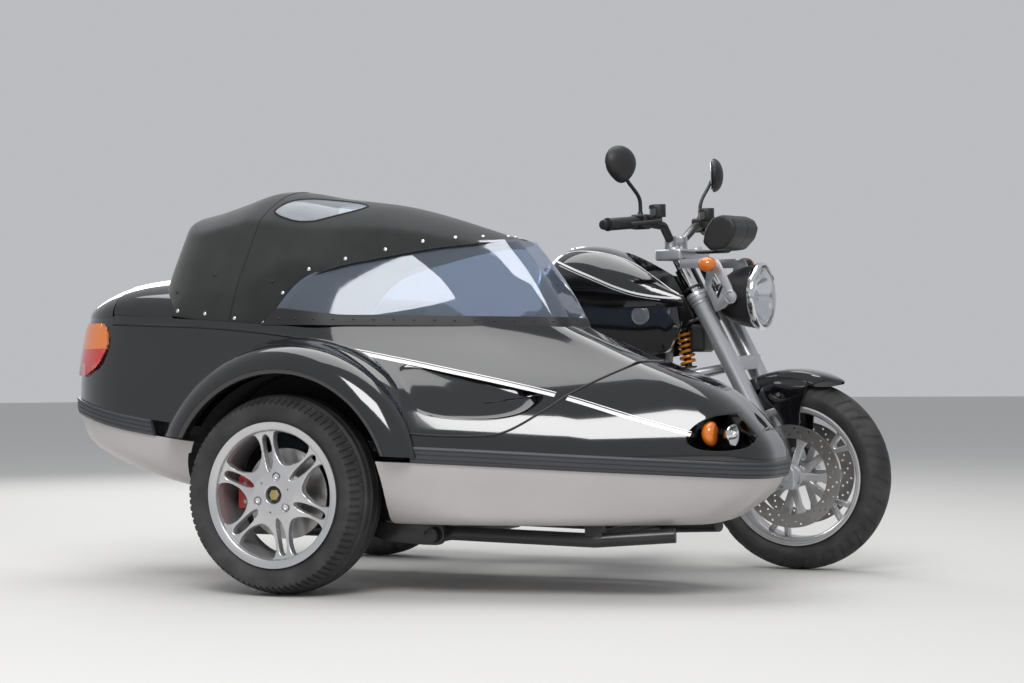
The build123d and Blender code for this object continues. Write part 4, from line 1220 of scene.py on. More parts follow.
def bike_groove(step, share, side, w):
    """Long curved grooves that run from the crown out to each shoulder, right and left in turn."""
    slant = 34.0 * min(share, 1.0) ** 1.6 - (10.0 if share > 0.8 else 0.0) * (min(share, 1.0) - 0.8) / 0.2
    mine = step in (1, 2) if side > 0 else step in (5, 6)
    short = step in (5, 6) if side > 0 else step in (1, 2)
    depth = 0.0
    if mine and 0.14 < share < 0.93:
        depth = 4.5
    if short and 0.55 < share < 0.90:
        depth = 4.0
    return depth, slant


CAR_STEPS = (0.0, 0.60, 0.66, 0.94)
BIKE_STEPS = (0.0, 0.13, 0.22, 0.27, 0.50, 0.63, 0.72, 0.77)
# Name of the wheel, its middle, the tyre's width, bead radius, crown height, pitches, steps and grooves
TYRES = [
    ("sidecar", (WHEEL_X, WHEEL_Y, WHEEL_Z), 196, WHEEL_BEAD_R, 26, 84, CAR_STEPS, car_groove),
    ("front", (WHEELBASE, 0, FRONT_Z), 120, BEAD_R, 44, 26, BIKE_STEPS, bike_groove),
    ("rear", (0, 0, REAR_Z), 180, BEAD_R, 60, 26, BIKE_STEPS, bike_groove),
]
for wheel, centre, width, bead, crown, pitches, steps, groove in TYRES:
    tread = make_tyre(wheel + "_tyre_tread", centre, width, bead, crown, pitches, steps, groove)
    if wheel == "front":
        steered(tread)
    finish(tread, wheel + "_wheel", [wheel + "_tyre"], smooth=32)


def prisms(outlines, y_low, y_high):
    return joined("prisms", [side_prism("prism", line, y_low, y_high) for line in outlines])


def cast_smooth(piece, voxel, iterations):
    """Rounds a cast part's edges: one closed skin, evenly smoothed."""
    modify(piece, "REMESH", mode="VOXEL", voxel_size=voxel * MM)
    modify(piece, "SMOOTH", factor=0.5, iterations=iterations)
    return piece


# Sidecar wheel: six twin spokes, each with a long pointed slot
CAR_FACE_Y = -1244.0
spot = wheel_at(WHEEL_X, WHEEL_Z)
ARM_ANGLES = [100, 40, -20, -80, -140, 160]
WINDOW = [(91, 0), (94, 6.5), (103, 12.5), (118, 18), (138, 20.8), (158, 21.2), (172, 20.2), (181, 18),
          (181, 9), (181, 0)]
SLOT = [(66, 0), (78, 5.0), (98, 6.6), (124, 5.9), (150, 4.7), (167, 3.2), (173, 0)]


def mirrored_outline(table, middle):
    """A closed outline from (radius, angle) points on one side of a middle line, mirrored to the other."""
    points = [spot(r, middle + a) for r, a in table]
    points += [spot(r, middle - a) for r, a in table[::-1] if a]
    return points


PLATE_R, PLATE_THICK = 184.0, 27.0
plate = prisms([[spot(PLATE_R, 3 * k) for k in range(120)]], CAR_FACE_Y, CAR_FACE_Y + PLATE_THICK)
windows = [smooth_line(mirrored_outline(WINDOW, a + 30), 2, closed=True) for a in ARM_ANGLES]
slots = [smooth_line(mirrored_outline(SLOT, a), 3, closed=True) for a in ARM_ANGLES]
bore = [[spot(25, 10 * k) for k in range(36)]]
cut(plate, prisms(windows + slots + bore, CAR_FACE_Y - 20, CAR_FACE_Y + 50), "DIFFERENCE")
cast_smooth(plate, 3.0, 7)
middle = at(WHEEL_X, CAR_FACE_Y, WHEEL_Z)
for v in plate.data.vertices:
    r = hypot(v.co.x - middle.x, v.co.z - middle.z) / MM
    dish = 9.0 * (1 - ((r - 128) / 62) ** 2) if 66 < r < 190 else 0.0
    v.co.y += dish * MM
LUGS = [spot(53, a) for a in (79, 199, -41)]
PINS = [spot(50, a) for a in (139, 19, -101)]
pockets = [[wheel_at(*lug)(13.5, 15 * k) for k in range(24)] for lug in LUGS]
dots = [[wheel_at(*pin)(3.4, 30 * k) for k in range(12)] for pin in PINS]
paint(plate, ALLOY)
cut(plate, prisms(pockets + dots, CAR_FACE_Y - 20, CAR_FACE_Y + 15), "DIFFERENCE")
paint(plate, ALLOY)
CAR_RIM = [(WHEEL_BEAD_R, -1255), (WHEEL_BEAD_R, -1247), (199, -1243), (195, -1241), (195, -1125),
           (207, -1119), (207, -1089), (203, -1089), (188, -1100), (186, -1125), (177, -1132), (177, -1180),
           (179, -1212), (179, -1228), (183, -1240), (184, -1249), (187, -1252), (202, -1254)]
ring = turned_ring("rim", CAR_RIM, WHEEL_X, WHEEL_Z, 120, ALLOY)
boss = turned_ring("boss", [(26.2, CAR_FACE_Y + 6), (56, CAR_FACE_Y + 8), (56, -1186), (26.2, -1186)],
                   WHEEL_X, WHEEL_Z, 48, ALLOY)
car_rim = joined("sidecar_rim_cast", [plate, ring, boss])
modify(car_rim, "BEVEL", width=1.0 * MM, segments=1, limit_method="ANGLE", angle_limit=radians(50),
       use_clamp_overlap=True)
finish(car_rim, "sidecar_wheel", ["sidecar_rim"], smooth=45)
# Wheel bolt: radius, and depth behind the wheel's face
BOLT = [(0.5, 5), (4.2, 5), (4.8, 1.5), (7.6, 1), (8.2, 3), (9.0, 9), (12.6, 11), (12.6, 14), (0.5, 14)]
bolt_form = [(r, CAR_FACE_Y + depth) for r, depth in BOLT]
bolts = [turned_ring("bolt", bolt_form, *lug, 18, CHROME) for lug in LUGS]
finish(joined("sidecar_wheel_bolts", bolts), "sidecar_wheel", smooth=35)
nut = turned_ring("hub_nut", [(0.5, -1238), (8, -1238), (9, -1240), (14, -1240), (16, -1238), (16, -1232.5),
                              (0.5, -1232.5)],
                  WHEEL_X, WHEEL_Z, 6, BRASS)
finish(nut, "sidecar_wheel", smooth=20)
valve_x, valve_z = spot(172, -36)
curve_tube("valve", [(valve_x, -1222, valve_z), (valve_x - 8, -1240, valve_z + 6)], 3.6, PLASTIC,
           "sidecar_wheel",
                   smooth=False)
disc_ring = turned_ring("sidecar_brake_disc", [(58, -1155), (130, -1155), (130, -1158.5), (122, -1158.5),
                                               (122, -1161.5), (130, -1161.5), (130, -1165), (58, -1165),
                                               (54, -1186), (30, -1186), (30, -1182), (50, -1182)], WHEEL_X,
                                               WHEEL_Z, 72, STEEL)
finish(disc_ring, "sidecar_wheel", ["sidecar_disc"], smooth=35)
dressed("sidecar_caliper", "sidecar_caliper_red", RED_PAINT, bevel=4, angle=30, segments=3)
PAD_PIN = [(0.5, -1187), (6, -1187), (7, -1185.5), (7, -1183), (0.5, -1183)]
pad_bolts = [turned_ring("pin", PAD_PIN, 176, z, 12, STEEL) for z in (262, 316)]
finish(joined("sidecar_caliper_pins", pad_bolts), "outfit", smooth=35)

# Front and rear wheels: five arms that fork to the rim
ARM_PAIR = 7.6
ARM_FIRST = 35.0
FORK_R, SPOKE_END_R = 132.0, 206.0


def arm_outline(place, sections):
    """An arm's outline, out on one side and back on the other, from (radius, angle, half angle) rows."""
    out = [place(r, middle - half) for r, middle, half in sections]
    return out + [place(r, middle + half) for r, middle, half in sections[::-1]]


def forked_spokes(name, x, z, y, thick, hub_r):
    """Five arms from a hub; each forks into two that end in the rim."""
    place = wheel_at(x, z)
    outlines = [[place(hub_r, 12 * k) for k in range(30)]]
    for k in range(5):
        middle = ARM_FIRST + 72 * k
        outlines.append(arm_outline(place, [(hub_r - 12, middle, 32), (hub_r + 22, middle, 11),
                                            (FORK_R, middle, 6.2)]))
        for side in (-1, 1):
            tip = middle + side * ARM_PAIR * 1.15
            root = middle + side * 3.2
            outlines.append(arm_outline(place, [(FORK_R - 22, root, 5.0), (FORK_R + 12, root, 3.4),
                                                (SPOKE_END_R, tip, 2.6)]))
    piece = prisms(outlines, y - thick / 2, y + thick / 2)
    piece.name = name
    cast_smooth(piece, 3.2, 8)
    return piece


def bike_rim(name, x, z, half, flange, hub_half):
    outer = [(flange - drop, half + out) for drop, out in ((13, 0), (9, 1), (0, 3), (0, 9))]
    inner = [(flange - drop, half + out) for drop, out in ((5, 10), (8, 6.5), (12, 6.5), (16, 2), (22, -12))]
    profile = [(r, -y) for r, y in outer[::-1]] + outer + inner + [(r, -y) for r, y in inner[::-1]]
    ring = turned_ring(name + "_ring", profile, x, z, 120)
    hub = turned_ring(name + "_hub", [(15.5, -hub_half), (30, -hub_half), (33, -hub_half + 4),
                                      (33, hub_half - 4), (30, hub_half), (15.5, hub_half)], x, z, 40)
    return [ring, hub]


# Name of the wheel, its x and z, the arms' y and thickness, the hub's radius, half widths of rim and hub
BIKE_WHEELS = [
    ("front", WHEELBASE, FRONT_Z, 0, 25, 40, 46, 46),
    ("rear", 0, REAR_Z, 20, 30, 58, 68, 34),
]
for wheel, x, z, arm_y, thick, hub_r, half, hub_half in BIKE_WHEELS:
    cast = joined(wheel + "_rim_cast", [forked_spokes("arms", x, z, arm_y, thick, hub_r)]
                  + bike_rim(wheel, x, z, half, BEAD_R, hub_half))
    paint(cast, ALLOY)
    if wheel == "front":
        steered(cast)
    finish(cast, wheel + "_wheel", [wheel + "_rim"], smooth=40)

# Front discs: perforated rings held by five silver arms
spot = wheel_at(WHEELBASE, FRONT_Z)
discs = []
carriers = []
DISC_R, DISC_BORE_R = 162.0, 120.0
# Outline of a disc's arm: radius and degrees from its middle line
DISC_ARM = [(26, -26), (60, -12), (96, -7), (124, -9), (126, 0), (124, 9), (96, 7), (60, 12), (26, 26)]
holes = [[spot(DISC_BORE_R, 6 * k) for k in range(60)]]
for k in range(20):
    for r, shift in ((130, 0), (141, 6), (152, 12)):
        around = wheel_at(*spot(r, 18 * k + shift))
        holes.append([around(3.6, 45 * j) for j in range(8)])
arms = [[spot(r, 72 * k - 2.0 + a) for r, a in DISC_ARM] for k in range(5)]
arms.append([spot(40, 12 * k) for k in range(30)])
# Each disc's right face, and the two faces of its carrier
for near, carrier_y in ((-75.0, (-74.5, -65.5)), (69.0, (64.0, 73.5))):
    rotor = prisms([[spot(DISC_R, 3 * k) for k in range(120)]], near, near + 5)
    cut(rotor, prisms(holes, near - 10, near + 20), "DIFFERENCE")
    discs.append(rotor)
    carrier = prisms(arms, *carrier_y)
    cast_smooth(carrier, 2.6, 5)
    axle_room = prisms([[spot(16.5, 12 * k) for k in range(30)]], near - 20, near + 30)
    paint(carrier, ALLOY)
    cut(carrier, axle_room, "DIFFERENCE")
    carriers.append(carrier)
for name, pieces, mat, slot, replaces in (("front_discs_drilled", discs, STEEL, "disc_steel",
                                           ["front_discs"]),
                                          ("front_disc_arms", carriers, ALLOY, "wheel_silver", ())):
    whole = paint(joined(name, pieces), mat)
    finish(steered(whole), "front_wheel", replaces, smooth=30)


# Motorcycle
def turned_along(name, start, end, profile, segments, mat=None):
    """A form turned about the line from start (mm) towards end, from (distance along, radius) points."""
    a = Vector(start)
    along = (Vector(end) - a).normalized()
    helper = Vector((0, 0, 1)) if abs(along.z) < 0.9 else Vector((1, 0, 0))
    u = along.cross(helper).normalized()
    w = along.cross(u)
    rows = []
    for s, r in profile:
        centre = a + along * s
        rows.append([tuple(centre + u * r * cos(2 * pi * k / segments) + w * r * sin(2 * pi * k / segments))
                     for k in range(segments)])
    piece = shaped_grid(name, rows, closed=True, capped=True)
    if mat:
        paint(piece, mat)
    return piece


def knobs(name, x, y, z, profile, segments, mat):
    """A turned form on each side of the motorcycle that points outwards from y."""
    return [turned_along(name, (x, side * y, z), (x, side * (y + 10), z), profile, segments,
                         mat) for side in (-1, 1)]


def posts(name, x, y, z, profile, segments, mat):
    """A turned form on each side of the motorcycle that points upwards from z."""
    return [turned_along(name, (x, side * y, z), (x, side * y, z + 10), profile, segments,
                         mat) for side in (-1, 1)]


def on_fork(name, pieces, replaces=(), smooth=35):
    return finish(steered(joined(name, pieces)), "fork", replaces, smooth)


def span(side, near, far):
    """The y range between two distances from the middle, on one side."""
    return sorted((side * near, side * far))


def mark_faces(piece, mat, test):
    """Gives a second material to the faces whose middle (in mm from the rear axle) passes the test."""
    piece.data.materials.append(mat)
    index = len(piece.data.materials) - 1
    for face in piece.data.polygons:
        c = face.center
        if test(c.x / MM + AHEAD, c.y / MM - RIGHT, c.z / MM):
            face.material_index = index
    return piece


# Tank: a smooth form over the CAD sections, with room for the fork and the frame's tube. Each section is
# its x, half widths at the foot and at the widest, and the heights of the foot, the widest line and the top
TANK = [
    (662, 95, 120, 815, 880, 968),
    (700, 104, 142, 806, 893, 1014),
    (740, 110, 158, 800, 900, 1033),
    (840, 122, 178, 790, 900, 1040),
    (960, 124, 182, 785, 885, 1003),
    (1060, 122, 176, 788, 868, 951),
    (1120, 120, 167, 794, 857, 912),
    (1163, 118, 158, 800, 848, 884),
]


FORK_ROOM_R = 151.0


def tank_row(x):
    _, low, wide, low_z, wide_z, top_z = interpolated(TANK, x)
    half = [(low * 0.5, low_z), (low, low_z + 2), (wide - 6, wide_z - 16), (wide, wide_z - 4),
            (wide - 1, wide_z + 6)]
    for s in range(1, 11):
        t = pi / 2 * s / 10
        half.append(((wide - 1) * cos(t) ** 0.82, wide_z + 6 + (top_z - wide_z - 6) * sin(t) ** 0.78))
    right = [(x, -y, z) for y, z in half]
    left = [(x, y, z) for y, z in half[::-1][1:]]
    return right + left


xs = [TANK[0][0] + (TANK[-1][0] - TANK[0][0]) * k / 28 for k in range(29)]
tank = shaped_grid("tank_shell", [tank_row(x) for x in xs], closed=True, capped=True)
paint(tank, BLACK)
tunnel = side_prism("tunnel", [(640, 760), (1200, 760), (1200, 1100), (1040, 1100), (990, 850), (640, 850)],
                    -63, 63)
cut(tank, tunnel, "DIFFERENCE")
fork_room = turned_along("fork_room", (STEER_FOOT - 740 * tan(RAKE), 0, 740),
                         (STEER_FOOT - 1080 * tan(RAKE), 0, 1080), [(0, FORK_ROOM_R), (390, FORK_ROOM_R)], 64,
                         WALL)
cut(tank, fork_room, "DIFFERENCE")
paint(tank, BLACK)
modify(tank, "BEVEL", width=3 * MM, segments=2, limit_method="ANGLE", angle_limit=radians(50),
       use_clamp_overlap=True)
finish(tank, "outfit", ["fuel_tank"], smooth=42)


def on_tank(x, z, side):
    start = at(x, side * 400, z)
    found, place, normal, _ = tank.ray_cast(start, Vector((0, -side, 0)))
    if not found or (place.y - at(0, 0, 0).y) * side < 0:
        return None
    return place + normal * 0.5 * MM


def tank_stripe(name, line, width, side):
    """A painted line on the tank's side from (x, z) points in side view."""
    points = [on_tank(x, z, side) for x, z in smooth_line(line, 6)]
    points = [p for p in points if p is not None]
    low_row = []
    for k, p in enumerate(points):
        ahead = points[min(k + 1, len(points) - 1)] - points[max(k - 1, 0)]
        found, place, normal, _ = tank.closest_point_on_mesh(p)
        across = ahead.cross(normal).normalized() * width / 2 * MM
        row = []
        for shift in (-1, 0, 1):
            _, near, face_normal, _ = tank.closest_point_on_mesh(p + across * shift)
            spot_here = near + face_normal * 0.0005
            row.append((spot_here.x / MM + AHEAD, spot_here.y / MM - RIGHT, spot_here.z / MM))
        low_row.append(row)
    piece = shaped_grid(name, low_row)
    paint(piece, STRIPE)
    modify(piece, "SOLIDIFY", thickness=0.3 * MM, offset=0)
    return finish(piece, "outfit", smooth=60)


TANK_LOW = [(708, 994), (736, 984), (800, 958), (874, 928), (933, 903), (994, 882), (1043, 871), (1091, 864),
            (1150, 859)]
TANK_HIGH = [(728, 1012), (770, 1021), (814, 1021), (867, 1015), (918, 1003), (966, 985), (1020, 956),
             (1070, 924), (1112, 894), (1148, 872)]
for side, tag in SIDES:
    tank_stripe("tank_stripe_low_" + tag, TANK_LOW, 6.5, side)
    tank_stripe("tank_stripe_fine_" + tag, [(x, z - 9) for x, z in TANK_LOW[1:-1]], 1.8, side)
    tank_stripe("tank_stripe_high_" + tag, TANK_HIGH, 5.0, side)
filler = turned_along("filler_cap", (770, 0, 1026), (770, 0, 1050),
                      [(0, 46), (8, 46), (12, 42), (13, 30), (15, 28), (17, 10)], 40, CHROME)
finish(filler, "outfit", smooth=35)
dressed("tank_sides", "tank_side_panels", BLACK, bevel=5, angle=30, segments=3)
BADGE_FORM = [(0, 30), (4.5, 30), (6, 28), (5.4, 25), (5.4, 23), (6.2, 22), (6.6, 4)]
finish(joined("plain_badges", knobs("badge", 1018, 148, 808, BADGE_FORM, 40, BADGE)), "outfit",
       smooth=30)

# Silver upper clamp, chrome stanchions, sliders with collars
bridge = dressed("fork_bridge", "fork_bridge_cast", FORK, bevel=3, angle=35, segments=2)
turn_back = STEERED.inverted()


def leg_x(z):
    """Where the fork legs' middle line is at height z."""
    return WHEELBASE - (z - FRONT_Z) * tan(RAKE)


def near_stanchion(x, y, z):
    p = turn_back @ at(x, y, z)
    px, py, pz = p.x / MM + AHEAD, p.y / MM - RIGHT, p.z / MM
    return pz < 1000 and hypot(px - leg_x(pz), abs(py) - LEG_Y) < 26


mark_faces(bridge, CHROME, near_stanchion)
dressed("fork_sliders", "fork_slider_legs", FORK, bevel=2.5, angle=30, segments=2)
rings = []
for side in (-1, 1):
    for z, r, h in ((893, 31, 7), (868, 33.5, 6), (846, 31.5, 5)):
        low = (leg_x(z), side * LEG_Y, z)
        high = (leg_x(z + 20), side * LEG_Y, z + 20)
        collar = [(0, r - 5), (0.5, r - 1), (1.5, r), (h - 1.5, r), (h - 0.5, r - 1), (h, r - 5)]
        rings.append(turned_along("ring", low, high, collar, 36, FORK if z < 890 else PLASTIC))
on_fork("fork_collars", rings)
# Clamp of a fork foot: x ahead of the axle, and z
FOOT_FORM = [(-30, 262), (28, 262), (34, 276), (32, 322), (12, 344), (-30, 352), (-40, 320), (-38, 280)]
feet = []
for side in (-1, 1):
    clamp = prisms([[(WHEELBASE + x, z) for x, z in FOOT_FORM]], *span(side, LEG_Y - 2, LEG_Y + 29))
    cast_smooth(clamp, 3.0, 5)
    paint(clamp, FORK)
    bore_line = [(WHEELBASE + 13 * cos(k * pi / 12), FRONT_Z + 13 * sin(k * pi / 12)) for k in range(24)]
    cut(clamp, prisms([bore_line], *span(side, LEG_Y + 18, LEG_Y + 40)), "DIFFERENCE")
    feet.append(paint(clamp, FORK))
for z in (272, 332):
    feet += knobs("pinch_bolt", WHEELBASE - 8, LEG_Y + 28, z, [(0, 6.5), (3, 6.5), (4, 5.5), (4, 3)], 16,
                  STEEL)
on_fork("fork_feet", feet)

# Bars, grips, controls
bars = dressed("handlebar", "handlebar_black", PLASTIC, bevel=1.5, angle=35)
mark_faces(bars, FORK, lambda x, y, z: abs(y) < 72)
dressed("grips_and_controls", "control_housings", PLASTIC, bevel=3, angle=35, segments=2)
dressed("brake_reservoirs", "lever_perches", PLASTIC, bevel=1.2, angle=35)
grips = []
BARS_Z = 1020.0
mid_x = leg_x(BARS_Z)
for side in (-1, 1):
    start = Vector((mid_x - 58, side * 281, 1106))
    end = Vector((mid_x - 92, side * 412, 1098))
    profile = [(0, 17.0), (1, 20.5), (4, 20.8), (6, 19.2)]
    for k in range(22):
        s = 8 + k * 5.1
        profile += [(s, 18.6), (s + 0.9, 19.5), (s + 3.1, 19.5), (s + 4.0, 18.6)]
    profile += [(121, 19.0), (123, 21.0), (127, 21.0), (129, 17.0), (130, 14.5), (134, 14.5), (147, 15.5),
                (151, 14), (152, 9)]
    grips.append(turned_along("grip", tuple(start), tuple(end), profile, 28, PLASTIC))
on_fork("ribbed_grips", grips, smooth=40)
# Name, slot, x behind the bars' middle, y, z, section, segments and finish
BAR_POSTS = [
    ("switch_buttons", "caliper_red", 50, 244, 1130, [(0, 7), (6, 7), (8, 5), (8.4, 2)], 16, RED_PAINT),
    ("fluid_pots", "lamp_clear", 10, 205, 1123, [(0, 16), (2, 21), (6, 22.5), (24, 22.8), (30, 23)], 32,
     GREY_LENS),
    ("fluid_caps", "black_plastic", 10, 205, 1151,
     [(0, 24), (1, 25), (8, 25), (11, 23.5), (12, 12), (12.6, 3)], 32, PLASTIC),
]
for name, slot, behind, y, z, section, segments, mat in BAR_POSTS:
    on_fork(name, posts(name, mid_x - behind, y, z, section, segments, mat))

# Mirrors: teardrop shells on bent stems, whose points are x behind the bars' middle, y and z
MIRROR_Y = 389.0
MIRROR_Z = 1283.0
STEM = [(48, 246, 1120), (47, 246, 1150), (46, 251, 1184), (50, 296, 1214), (52, 340, 1238), (50, 362, 1262)]
STEM_FOOT = [(0, 12), (3, 13.5), (12, 13.5), (14, 9.5), (26, 8.5), (28, 7)]
shells = []
glasses = []
for side in (-1, 1):
    deselect()
    bpy.ops.mesh.primitive_uv_sphere_add(segments=40, ring_count=24, radius=1.0)
    shell = bpy.context.object
    shell.name = "shell"
    for v in shell.data.vertices:
        back = v.co.x < 0
        low = (1 - v.co.z) / 2
        taper = 1.0 - 0.32 * low ** 2.2
        v.co = Vector((v.co.x * (10 if back else 34), v.co.y * 64 * taper + side * -6 * low, v.co.z * 58))
    twin = copy_of(shell, "glass")
    for v in twin.data.vertices:
        v.co = Vector((v.co.x * 0.25 - 10.2, v.co.y * 0.88, v.co.z * 0.88))
    turn = Matrix.Rotation(side * radians(24), 4, "Z")
    for piece, store, mat in ((shell, shells, PLASTIC), (twin, glasses, MIRROR)):
        piece.data.transform(turn)
        for v in piece.data.vertices:
            v.co = at(v.co.x + mid_x - 52, v.co.y + side * MIRROR_Y, v.co.z + MIRROR_Z)
        paint(piece, mat)
        store.append(piece)
    shells.append(curve_tube("stem", [(mid_x - behind, side * y, z) for behind, y, z in STEM], 6.2, PLASTIC,
                             None))
shells += posts("stem_foot", mid_x - 48, 246, 1112, STEM_FOOT, 24, PLASTIC)
for piece in shells:
    outward(piece)
on_fork("mirror_shells", shells, ["mirrors"], smooth=45)
on_fork("mirror_glasses", glasses, smooth=45)

# Headlamp: black bucket, chrome ring, reflector behind a clear lens
LAMP_Z = 866.0
LAMP_X = 1392.0


def lamp_turn(name, profile, mat, segments=64):
    """A form turned about the headlamp's axis, from (x from the lens's edge, radius) points."""
    profile = [(200 + x, r) for x, r in profile]
    return turned_along(name, (LAMP_X - 200, 0, LAMP_Z), (LAMP_X, 0, LAMP_Z), profile, segments, mat)


bucket = lamp_turn("bucket", [(-150, 8), (-150, 34), (-146, 44), (-130, 66), (-100, 84), (-62, 96),
                              (-34, 101), (-24, 103), (-24, 99), (-60, 91), (-98, 60), (-110, 8)], PLASTIC)
finish(steered(bucket), "fork", ["headlamp_shell"], smooth=35)
ring = lamp_turn("ring", [(-24, 96.2), (-24, 104), (-20, 107), (-12, 108), (-4, 106.5), (0, 103), (1, 98),
                          (-2, 96.2)],
                 CHROME, 72)
delete_faces(ring, lambda face: len(face.vertices) > 8)
modify(ring, "SOLIDIFY", thickness=1.6 * MM, offset=-1)
finish(steered(ring), "fork", smooth=40)
dish = lamp_turn("dish", [(-92, 3), (-91, 20), (-80, 42), (-60, 64), (-34, 84), (-14, 94), (-12, 96),
                          (-14.5, 96.5), (-36, 86), (-62, 66), (-82, 44), (-94, 22), (-95, 3)], CHROME)
finish(steered(dish), "fork", smooth=30)
bulb_cap = lamp_turn("bulb_cap", [(-90, 12), (-56, 12), (-40, 20), (-36, 19), (-34, 8), (-34, 1)], CHROME, 32)
finish(steered(bulb_cap), "fork", smooth=35)
lens = lamp_turn("lens", [(-8, 95.5), (0, 95.0), (5, 84), (10, 66), (14, 44), (17, 20), (18, 2), (15, 2),
                          (13.5, 20), (10.5, 44), (6.5, 66), (1.5, 84), (-4, 92)], LAMP_GLASS)
finish(steered(lens), "fork", ["headlamp_lens"], smooth=45)
dressed("lamp_brackets", "lamp_cheeks", FORK, bevel=2, angle=35, segments=2)
BOSS_FORM = [(0, 22), (7, 22), (9, 20), (9, 15), (5, 14), (5, 8), (9, 7.4), (11, 5), (11, 1)]
on_fork("lamp_bosses", knobs("boss", 1318, 112, LAMP_Z, BOSS_FORM, 28, FORK), smooth=30)
stalks = dressed("front_indicators", "indicator_bulbs", AMBER, bevel=0.6, angle=35)
mark_faces(stalks, PLASTIC, lambda x, y, z: abs(y) < 146)

# Instruments: two hooded lobes
LOBE = [(1222, 1040), (1246, 1014), (1292, 1018), (1326, 1052), (1338, 1086), (1326, 1112), (1294, 1128),
        (1256, 1118), (1230, 1080)]
lobes = [side_prism("lobe", LOBE, *span(side, 5, 104)) for side in (-1, 1)]
lobes.append(side_prism("bridge", [(1240, 1048), (1296, 1042), (1312, 1080), (1250, 1084)], -30, 30))
lobes.append(side_prism("stay", [(1162, 1007), (1268, 1007), (1276, 1046), (1246, 1046), (1240, 1018),
                                 (1162, 1018)], -28, 28))
pods = joined("instrument_hoods", lobes)
cast_smooth(pods, 4.0, 26)
paint(pods, PLASTIC)
finish(steered(pods), "fork", ["instruments"], smooth=50)
DIAL_FORM = [(0, 38), (2, 40), (5, 40), (6, 37), (4.5, 36), (4.5, 2)]
dials = []
for side in (-1, 1):
    y = side * 55
    dials.append(turned_along("dial", (1244, y, 1068), (1230, y, 1077), DIAL_FORM, 40, STEEL))
on_fork("dial_rims", dials, smooth=30)

# Front mudguard, calipers
GUARD_STEPS = 36
guard_rows = []
for k in range(GUARD_STEPS + 1):
    t = k / GUARD_STEPS
    a = radians(62 + 98 * t)
    nose = min(1.0, t / 0.16)
    grow_in = sin(nose * pi / 2) ** 0.7
    width = 16 + 47 * grow_in
    skirt = 4 + 30 * grow_in * (1 - 0.35 * max(0.0, (t - 0.6) / 0.4))
    row = []
    for j in range(-10, 11):
        u = j / 10
        if abs(u) <= 0.7:
            v = u / 0.7
            y = width * sin(v * pi / 2)
            r = 336 - 11 * v * v
        else:
            v = (abs(u) - 0.7) / 0.3
            y = (1 if u > 0 else -1) * (width + 3.5 * sin(v * pi / 2))
            r = 325 - skirt * v
        row.append((WHEELBASE + r * cos(a), y, FRONT_Z + r * sin(a)))
    guard_rows.append(row)
guard = shaped_grid("front_mudguard_blade", guard_rows)
outward(guard)
if sum(p.normal.z for p in guard.data.polygons) < 0:
    guard.data.flip_normals()
paint(guard, BLACK)
smooth_surface(guard, 1)
modify(guard, "SOLIDIFY", thickness=2.6 * MM, offset=-1)
finish(steered(guard), "fork", ["front_mudguard"], smooth=50)
GUARD_LEG = [(1392, 560), (1412, 584), (1470, 602), (1548, 598), (1542, 560), (1528, 520), (1522, 470),
             (1516, 400), (1514, 340), (1508, 326), (1500, 330), (1482, 400), (1466, 470), (1442, 512),
             (1410, 534)]
GUARD_SLOT = [(1430, 556), (1476, 540), (1470, 562), (1452, 574)]
legs = []
for side in (-1, 1):
    low, high = span(side, 66.5, 71.5)
    leg = side_prism("leg", smooth_line(GUARD_LEG, 3, closed=True), low, high)
    cut(leg, side_prism("slot", smooth_line(GUARD_SLOT, 3, closed=True), low - 5, high + 5), "DIFFERENCE")
    paint(leg, BLACK)
    modify(leg, "BEVEL", width=1.4 * MM, segments=2, limit_method="ANGLE", angle_limit=radians(50),
           use_clamp_overlap=True)
    legs.append(leg)
leg_bolts = []
for x, z in ((1455, 556), (1506, 344), (1502, 384)):
    leg_bolts += knobs("bolt", x, 66, z, [(0, 7), (7, 7), (8.5, 6), (8.5, 3), (6.5, 2)], 16, STEEL)
on_fork("front_mudguard_legs", legs, smooth=40)
on_fork("front_mudguard_bolts", leg_bolts)
dressed("front_calipers", "front_calipers_cast", CASTING, bevel=5, angle=35, segments=3)
dressed("wishbone", "wishbone_silver", FORK, bevel=2, angle=35)
dressed("front_cowl", "front_cowl_black", PLASTIC, bevel=4, angle=35, segments=2)

# Spring strut: orange coil over a damper
SPRING_FOOT = Vector((1129, 0, 642))
SPRING_HEAD = Vector((1113, 0, 770))
COIL_R, COIL_TURNS, COIL_LONG, COIL_STEPS = 22.5, 6.5, 116.0, 14
along = (SPRING_HEAD - SPRING_FOOT).normalized()
across = Vector((0, 1, 0))
other = along.cross(across)
coil = []
for k in range(int(COIL_TURNS * COIL_STEPS) + 1):
    a = 2 * pi * k / COIL_STEPS
    middle = SPRING_FOOT + along * (6 + COIL_LONG * k / (COIL_TURNS * COIL_STEPS))
    coil.append(tuple(middle + across * COIL_R * cos(a) + other * COIL_R * sin(a)))
curve_tube("coil_spring", coil, 4.8, ORANGE, "outfit", sections=3)
damper = turned_along("damper", (1130, 0, 636), (1112, 0, 777),
                      [(0, 20), (3, 27), (7, 27), (8, 12), (60, 12), (62, 16), (124, 16),
                                                                 (126, 27), (132, 27), (136, 20)], 32,
                                                                 FRAME_BLACK)
finish(damper, "outfit", ["spring_struts"], smooth=35)

